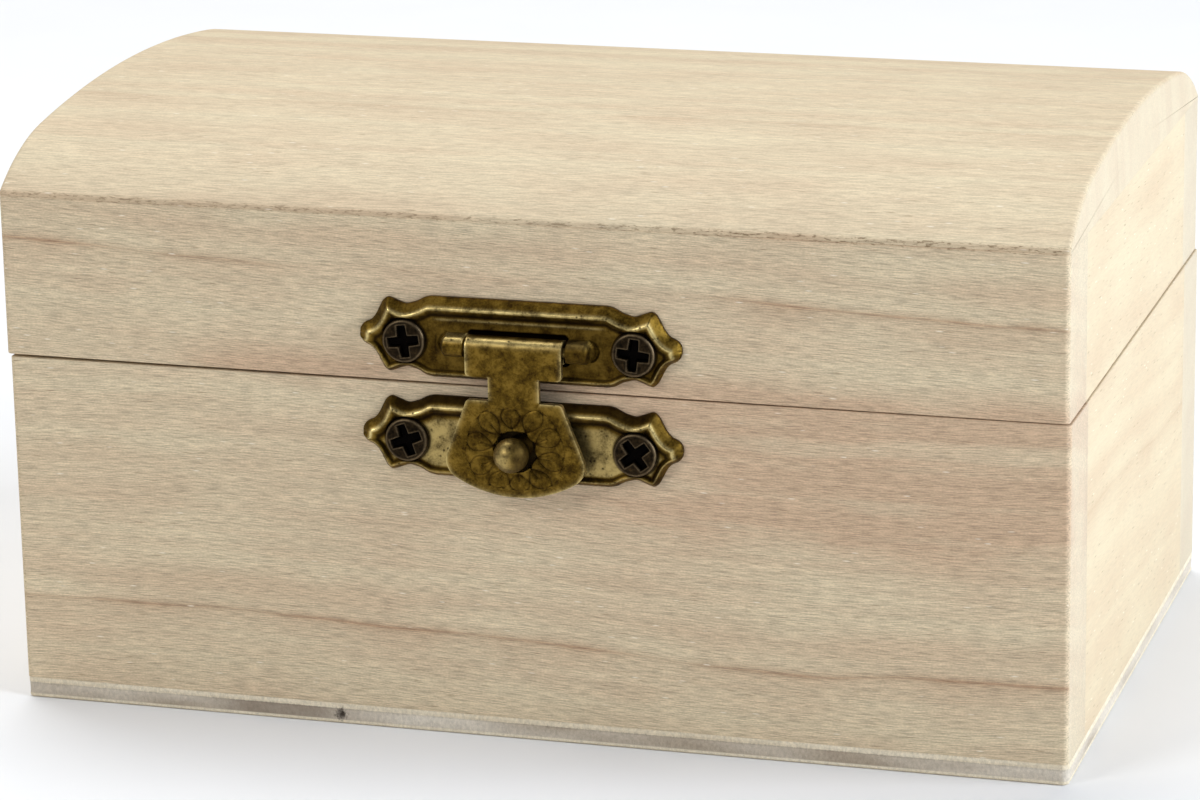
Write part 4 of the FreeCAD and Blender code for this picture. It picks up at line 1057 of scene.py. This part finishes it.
dirt = np.concatenate([np.zeros(first - bell_dirt.size), bell_dirt.ravel()])
flap = piece("hasp_flap", points, np.concatenate(quads), "flap", "latch_flap", "antique_brass",
             antique_brass, worn=worn, dirt=dirt)
sheet_metal(flap, FLAP_SHEET, FLAP_BREAK)

# %% [markdown]
# ### Stud, pins and screws
# These are turned parts: a profile of radius and depth is carried round an axis. The screws' heads also
# get a pressed cross, by lowering the points of the head inside the cross's outline.

# %% Turned pieces
def revolved(profile, steps):
    """Grid of a profile of (radius, travel), carried round: a row for each of its points."""
    angle = np.linspace(0, 2 * np.pi, steps, endpoint=False)
    radius, travel = profile[:, :1], profile[:, 1:]
    return np.stack(np.broadcast_arrays(radius * np.cos(angle), radius * np.sin(angle), travel), -1)


STUD_BALL, STUD_CENTRE, STUD_NECK, STUD_COLLAR, STUD_STEPS = 1.9, 4.29, 1.15, 1.4, 64
STUD_RUB, STUD_RUB_SHADED, NECK_SHADE, RIGHT_SHADE = 0.42, 0.25, 0.8, 0.6
ball = circle((0, STUD_CENTRE), STUD_BALL, np.radians(np.linspace(-48, 90, 41)))
ball[-1, 0] = 0.0
shank = np.array([(0, -4.0), (0.75, -4.0), (0.9, -3.85), (0.9, 0.0), (STUD_NECK, 0.02), (STUD_NECK, 0.72),
                  (STUD_COLLAR, 0.75), (STUD_COLLAR, 1.0), (STUD_NECK, 1.15), (STUD_NECK, 3.1)])
stud = revolved(np.concatenate([shank, ball]), STUD_STEPS)
points = np.stack([stud[..., 0], WOOD_FRONT - stud[..., 2], HOLE_Z + stud[..., 1]], -1).reshape(-1, 3)
travel, right = WOOD_FRONT - points[:, 1], points[:, 0]
# Painted shade: the neck inside the flap's hole is dark, and the ball's right side is darker and less
# rubbed, which dulls its highlight there.
stud_worn = STUD_RUB * ease(3.4, 5.2, travel) * (1 - (1 - STUD_RUB_SHADED) * ease(-0.5, 0.8, right))
stud_dirt = np.maximum(NECK_SHADE * (1 - ease(2.6, 3.6, travel)), RIGHT_SHADE * ease(0.1, 1.1, right))
piece("hasp_stud", points, cells(*stud.shape[:2], closed=True), "base", "latch_stud", "antique_brass",
      antique_brass, worn=stud_worn, dirt=stud_dirt)

# %% Wire pin
PIN_CUT, PIN_RUNS, PIN_STEPS, PIN_WORN = 0.18, 12, 40, 0.3
HASP_WIRE, HASP_WIRE_LENGTH = 0.6, 15.8


def pin(name, node, body, middle, radius, length, slot, finish):
    """Wire pin along the chest with broken ends."""
    half = length / 2
    run = np.linspace(PIN_CUT - half, half - PIN_CUT, PIN_RUNS)
    profile = np.concatenate([[(0, -half), (radius - PIN_CUT, -half)],
                              np.stack([np.full_like(run, radius), run], -1),
                              [(radius - PIN_CUT, half), (0, half)]])
    ring = revolved(profile, PIN_STEPS)
    points = ring[..., [2, 0, 1]].reshape(-1, 3) + middle
    bare = np.zeros(len(points))
    quads = cells(*ring.shape[:2], closed=True)
    piece(name, points, quads, body, node, slot, finish, worn=bare + PIN_WORN, dirt=bare)


pin("hasp_wire", "latch_hinge_pin", "lid", (0, PIN_Y, PIN_HEIGHT), HASP_WIRE, HASP_WIRE_LENGTH,
    "antique_brass", antique_brass)

# %% [markdown]
# ### Dark screws
# The screws are small steel wood screws with a bronze-black bath on them. The head's edge is rubbed to
# a thin brown ring, and the cross is black, because no light gets into it.

# %% Bronzed steel
STEEL_PATTERNS = {"cloud": ("TexNoise", (0.45, 0.45, 0.45), 4.0, 0.7)}


def screw_finish():
    """Blackened steel with a rubbed brown ring at the head's edge and a pitted, half dull surface; the
    cross is painted near black as shade.
    """
    finish, tree, shader = new_finish("bronzed_steel", Metallic=1.0)
    cloud = patterns(tree, (add(tree, "TexCoord"), "Object"), STEEL_PATTERNS, unit=MM)["cloud"]
    worn, dirt = ((add(tree, "Attribute", attribute_name=value), "Fac") for value in ("worn", "dirt"))
    ground = add(tree, "ValToRGB", cloud, stops=[
        (0.35, srgb("#120E09")), (0.55, srgb("#271E13")), (0.75, srgb("#413320"))])
    scuff = add(tree, "MapRange", cloud, 0.3, 0.65, 0.4, 1.0)
    rubbed = add(tree, "Math", worn, scuff, operation="MULTIPLY")
    ringed = add(tree, "Mix", {0: rubbed, 6: ground, 7: srgb("#7C6A50")}, data_type="RGBA")
    whole = add(tree, "Mix", {0: dirt, 6: (ringed, 2), 7: srgb("#050404")}, data_type="RGBA")
    rough = add(tree, "MapRange", cloud, 0.0, 1.0, 0.36, 0.58)
    bump = add(tree, "Bump", {"Height": cloud, "Strength": 0.3, "Distance": 0.04 * MM})
    join(tree, shader, {"Base Color": (whole, 2), "Roughness": rough, "Normal": bump})
    return finish


bronzed_steel = screw_finish()

# %% One screw
HASP_SCREW = {"head": 2.42, "rise": 0.8, "shank": 0.95, "length": 7.0,
              "cross": 3.6, "arm": 1.25, "depth": 0.62}
HINGE_SCREW = {"head": 1.6, "rise": 0.58, "shank": 0.7, "length": 6.0,
               "cross": 2.1, "arm": 0.62, "depth": 0.4}
DOME_DROP, LIP_SHARE, ARM_TAPER, CROSS_BRIM, CROSS_WALL = 0.12, 0.45, 0.18, 0.04, 0.3
DOME_RINGS, LIP_RINGS, SCREW_STEPS = 44, 8, 120
LIP_RUB, CROSS_RUB, CROSS_RUB_AT, CROSS_RUB_WIDTH, CROSS_DARK = 0.35, 0.5, -0.05, 0.0632, 0.95


def screw_profile(head, rise, shank, length):
    """Profile of (radius, travel) from the middle of the head to the point, with travel 0 at the seat.

    The head is a low dome that drops by an eighth of its rise to the edge and rounds over there.
    """
    lip = LIP_SHARE * rise
    flat = np.linspace(0, head - lip, DOME_RINGS)
    dome = np.stack([flat, rise * (1 - DOME_DROP * (flat / (head - lip)) ** 2)], -1)
    over = np.radians(np.linspace(90, 0, LIP_RINGS + 1))[1:]
    brim = circle((head - lip, rise * (1 - DOME_DROP) - lip), lip, over)
    under = np.array([(head, 0.02), (head - 0.08, 0.0), (shank + 0.05, 0.0), (shank, -0.1),
                      (shank, 1.6 - length), (0.35 * shank, 0.2 - length), (0, -length)])
    return np.concatenate([dome, brim, under])


def screw(head, rise, shank, length, cross, arm, depth, turn):
    """One screw: (points, quads, wear, and the darkness that paints the cross black as shade).

    The cross is the nearer of two tapered bars turned by an angle; inside it the head sinks to its depth.
    """
    profile = screw_profile(head, rise, shank, length)
    ring = revolved(profile, SCREW_STEPS)
    a = np.abs(ring[..., 0] * np.cos(turn) + ring[..., 1] * np.sin(turn))
    b = np.abs(ring[..., 1] * np.cos(turn) - ring[..., 0] * np.sin(turn))
    bars = [np.maximum(one - cross / 2, other - arm / 2 * (1 - ARM_TAPER * one / (cross / 2)))
            for one, other in ((a, b), (b, a))]
    on_dome = (np.arange(len(profile)) < DOME_RINGS)[:, None]
    inside = -np.minimum(*bars) * on_dome
    ring[..., 2] -= depth * ease(-CROSS_BRIM, CROSS_WALL, inside) * (inside > -CROSS_BRIM) * on_dome
    radius = np.repeat(profile[:, :1], SCREW_STEPS, 1)
    lip = LIP_RUB * LIP_SHARE * rise
    brim = CROSS_RUB * hump(inside, CROSS_RUB_AT, CROSS_RUB_WIDTH)
    brim = brim * (inside < 0.02) * (radius < cross / 2 + 0.2)
    worn = (ring[..., 2] > 0.05) * np.maximum(hump(radius, head - lip, lip), brim)
    dirt = CROSS_DARK * ease(0.02, 0.22, inside) * on_dome
    return ring.reshape(-1, 3), cells(*ring.shape[:2], closed=True), worn.ravel(), dirt.ravel()


print("one screw:", len(screw(**HASP_SCREW, turn=0.0)[0]), "points")

# %% Screws in place
def screws(name, node, body, kind, places, seat, outside, slot, finish):
    """Screws at places of (x, z, turn in degrees), seated at a depth; outside is -1 in front, 1 behind."""
    made, first = [], 0
    for x, z, turn in places:
        local, quads, worn, dirt = screw(**kind, turn=np.radians(turn))
        points = np.stack([x + local[:, 0], seat + outside * local[:, 2], z + local[:, 1]], -1)
        made.append((points, quads + first, worn, dirt))
        first += len(points)
    points, quads, worn, dirt = (np.concatenate(part) for part in zip(*made))
    piece(name, points, quads, body, node, slot, finish, worn=worn, dirt=dirt)


for body, where, middle, turns in (("lid", "upper", UPPER_PLATE_Z, (8, -6)),
                                   ("base", "lower", LOWER_PLATE_Z, (20, 37))):
    places = [(x, middle + SEAT_Z, turn) for x, turn in zip((-SEAT_X, SEAT_X), turns)]
    screws(f"hasp_{where}_screws", f"latch_{body}_screws", body, HASP_SCREW, places,
           WOOD_FRONT - PLATE_FIELD, -1, "bronzed_steel", bronzed_steel)

# %% [markdown]
# ## Butt hinges
# Two small brass butt hinges carry the lid at the rear. A leaf is a sheet that lies on the wood and is
# rolled round the pin; the lid's leaf has a knuckle at each end and the base's leaf one between them.
# So the sheet is a path carried along the hinge, and cells that the other knuckles need are left out.

# %% Hinge brass
# Rolled sheet is lighter and more even than the stamped hasp, and is only slightly darkened.
hinge_brass = brass_finish("antiqued_rolled_brass", "#6B5A32", "#8B7544", "#A58E59", "#DCC892", 0.8)

# %% A hinge leaf
HINGE_Y, HINGE_Z = axes["lid_hinge"][1:]
LEAF_HALF, LEAF_REACH, LEAF_SHEET, LEAF_ROUND, LEAF_OFF = 9.0, 9.0, 0.74, 1.2, 0.02
ROLL_RADIUS, ROLL_START, KNUCKLE_HALF, KNUCKLE_GAP, PASSING = 1.12, 2.0, 3.0, 0.25, 1.85
BEND_FROM, BEND_TO, BEND_END, LEAF_RUB, LEAF_RUB_WIDTH, LEAF_BREAK = 0.2, 1.8, 1.9, 0.8, 0.3, 0.08


def leaf_path():
    """Roll round the pin, a slight bend and a flat run, and the run's length at each of its points."""
    roll = circle((0, 0), ROLL_RADIUS, np.linspace(ROLL_START, -np.pi, 45))
    tail = LEAF_REACH - LEAF_ROUND * (1 - np.sin(np.linspace(0, np.pi / 2, 10)))
    run = np.concatenate([np.linspace(0, BEND_END, 16)[1:],
                          np.linspace(BEND_END, LEAF_REACH - LEAF_ROUND - 0.05, 18)[1:], tail])
    leaf_y = half_y + LEAF_SHEET / 2 + LEAF_OFF - HINGE_Y
    bend = -ROLL_RADIUS + (leaf_y + ROLL_RADIUS) * ease(BEND_FROM, BEND_TO, run)
    path = np.concatenate([roll, np.stack([bend, run], -1)])
    return path, np.concatenate([np.zeros(len(roll)), run])


def hinge_leaf(name, node, body, middle, up):
    """Middle surface of a leaf: its path carried along the hinge, with the other leaf's knuckles left out.

    The flat run's corners are rounded by drawing the columns in near the leaf's edge.
    """
    path, length = leaf_path()
    gap = KNUCKLE_HALF + KNUCKLE_GAP if up else KNUCKLE_HALF
    outer = np.linspace(gap, LEAF_HALF, 13)
    x = np.concatenate([-outer[:0:-1], np.linspace(-gap, gap, 15), outer[1:]])
    share = np.clip(np.abs(x) - gap, 0, None) / (LEAF_HALF - gap)
    grid_x = x[None] - np.sign(x)[None] * share[None] * inset(LEAF_ROUND, LEAF_REACH - length)[:, None]
    rise = path[:, 1:] if up else -path[:, 1:]
    points = np.stack(np.broadcast_arrays(grid_x + middle, path[:, :1] + HINGE_Y, rise + HINGE_Z), -1)
    quads = cells(len(path), len(x))
    row, column = np.divmod(quads, len(x))
    rolled = length[row].max(1) <= PASSING
    within = np.abs(x[column]).max(1) <= gap + 1e-6
    quads = quads[~(rolled & (within if up else ~within))]
    edge = np.minimum(LEAF_HALF - np.abs(x)[None], (LEAF_REACH - length)[:, None])
    worn = LEAF_RUB * np.exp(-np.clip(edge, 0, None) / LEAF_RUB_WIDTH)
    used, quads = np.unique(quads, return_inverse=True)
    made = piece(name, points.reshape(-1, 3)[used], quads.reshape(-1, 4), body, node, "hinge_brass",
                 hinge_brass, worn=worn.ravel()[used], dirt=np.zeros(len(used)))
    sheet_metal(made, LEAF_SHEET, LEAF_BREAK)


print("leaf path:", len(leaf_path()[0]), "points")

# %% Hinges in place
HINGE_PIN, LEAF_SCREW_X, LEAF_SCREW_Z, LEAF_SEAT, TURN_STEP, TURN_SIDE = 0.7, 5.0, 5.4, 38.8, 17, 11
middles = {side: corners(f"hinge_{side}_pin")[:, 0].mean() for side in ("left", "right")}
for side, middle in middles.items():
    hinge_leaf(f"{side}_leaf_on_lid", f"hinge_{side}_lid_leaf", "lid", middle, True)
    hinge_leaf(f"{side}_leaf_on_base", f"hinge_{side}_base_leaf", "base", middle, False)
    pin(f"{side}_hinge_wire", f"hinge_{side}_pin", "base", (middle, HINGE_Y, HINGE_Z), HINGE_PIN,
        2 * LEAF_HALF, "hinge_brass", hinge_brass)
for body, sign in (("lid", 1), ("base", -1)):
    columns = [middle + aside for middle in middles.values() for aside in (-LEAF_SCREW_X, LEAF_SCREW_X)]
    turns = [TURN_STEP * k + TURN_SIDE * sign for k in range(len(columns))]
    places = [(x, HINGE_Z + sign * LEAF_SCREW_Z, turn) for x, turn in zip(columns, turns)]
    screws(f"{body}_leaf_screws", f"hinge_{body}_screws", body, HINGE_SCREW, places, LEAF_SEAT, 1,
           "hinge_brass", hinge_brass)

# %% [markdown]
# ## The stage
# A pale sweep of paper, a camera where the photographer stood and three soft lights: a broad one from
# above, a strong one at the right that makes the end almost white, and a weak one in front.

# %% Paper sweep
PAPER_PATTERNS = {"mottle": ("TexNoise", (25, 25, 25), 3.0, 0.5)}


def paper_finish():
    """Matt white paper with a faint fibre mottle."""
    finish, tree, shader = new_finish("matt_white_paper", Roughness=0.95, Specular_IOR_Level=0.1)
    mottle = patterns(tree, (add(tree, "TexCoord"), "Object"), PAPER_PATTERNS, unit=MM)["mottle"]
    tone = add(tree, "Mix", {0: mottle, 6: srgb("#EBEAE9"), 7: srgb("#EFEEED")}, data_type="RGBA")
    join(tree, shader, {"Base Color": (tone, 2)})
    return finish


def paper_sweep():
    """A flat run, a quarter circle and an upright run, carried across the set, in metres."""
    radius, floor_end, top, reach = 0.6, 1.4, 2.2, 2.5
    bend = circle((floor_end, radius), radius, np.linspace(-np.pi / 2, 0, 25))
    run = np.concatenate([[[-reach, 0.0]], bend, [[floor_end + radius, top]]])
    across = np.linspace(-reach, reach, 9)
    points = np.empty((len(run), len(across), 3))
    points[..., 0] = across
    points[..., 1:] = run[:, None]
    return points.reshape(-1, 3), cells(len(run), len(across))


points, quads = paper_sweep()
sweep_mesh = bpy.data.meshes.new("paper_sweep")
sweep_mesh.from_pydata(points.tolist(), [], quads[:, ::-1].tolist())
sweep_mesh.polygons.foreach_set("use_smooth", np.ones(len(quads), bool))
sweep_mesh.materials.append(paper_finish())
sweep = bpy.data.objects.new("paper_sweep", sweep_mesh)
bpy.context.scene.collection.objects.link(sweep)

# %% Camera
CAMERA_PLACE, CAMERA_AIM = Vector((152.86, -508.87, 182.41)) * MM, Vector((-2.86, 0.0, 27.93)) * MM
CAMERA_LENS, SENSOR_WIDTH, CAMERA_ROLL = 143.717, 36.0, -1.109

lens = bpy.data.cameras.new("camera")
lens.lens = CAMERA_LENS
lens.sensor_width = SENSOR_WIDTH
lens.clip_start, lens.clip_end = 0.01, 20.0
camera = bpy.data.objects.new("camera", lens)
turn = (CAMERA_AIM - CAMERA_PLACE).to_track_quat("-Z", "Y")
turn = turn @ Quaternion((0, 0, 1), np.radians(CAMERA_ROLL))
camera.matrix_world = Matrix.Translation(CAMERA_PLACE) @ turn.to_matrix().to_4x4()
bpy.context.scene.collection.objects.link(camera)
bpy.context.scene.camera = camera
print("camera", round((CAMERA_AIM - CAMERA_PLACE).length, 3), "m from its aim")

# %% Lights
# Name, place and aim in metres, side of the square in metres, power in watts, and colour.
LIGHTS = (
    ("overhead", (-0.25, 0.3, 0.9), (0.0, 0.0, 0.03), 0.7, 7.3, "#FBFDFF"),
    ("right", (0.75, -0.1, 0.30), (0.0, 0.0, 0.04), 0.5, 7.9, "#E7F1FF"),
    ("front", (-0.55, -0.75, 0.6), (0.0, 0.0, 0.04), 0.4, 3.3, "#FFFFFF"),
)
SKY_STRENGTH = 0.25
for name, place, aim, size, power, tint in LIGHTS:
    lamp = bpy.data.lights.new(name, "AREA")
    lamp.shape = "SQUARE"
    lamp.size = size
    lamp.energy = power
    lamp.color = srgb(tint)[:3]
    holder = bpy.data.objects.new(name, lamp)
    turn = (Vector(place) - Vector(aim)).to_track_quat("Z", "Y")
    holder.matrix_world = Matrix.Translation(place) @ turn.to_matrix().to_4x4()
    bpy.context.scene.collection.objects.link(holder)

world = bpy.data.worlds.new("studio")
world.use_nodes = True
sky = world.node_tree.nodes["Background"]
join(world.node_tree, sky, {"Color": srgb("#F2F4F7"), "Strength": SKY_STRENGTH})
bpy.context.scene.world = world
bpy.context.scene.view_settings.view_transform = "Standard"
print(len(LIGHTS), "lights and a pale sky")
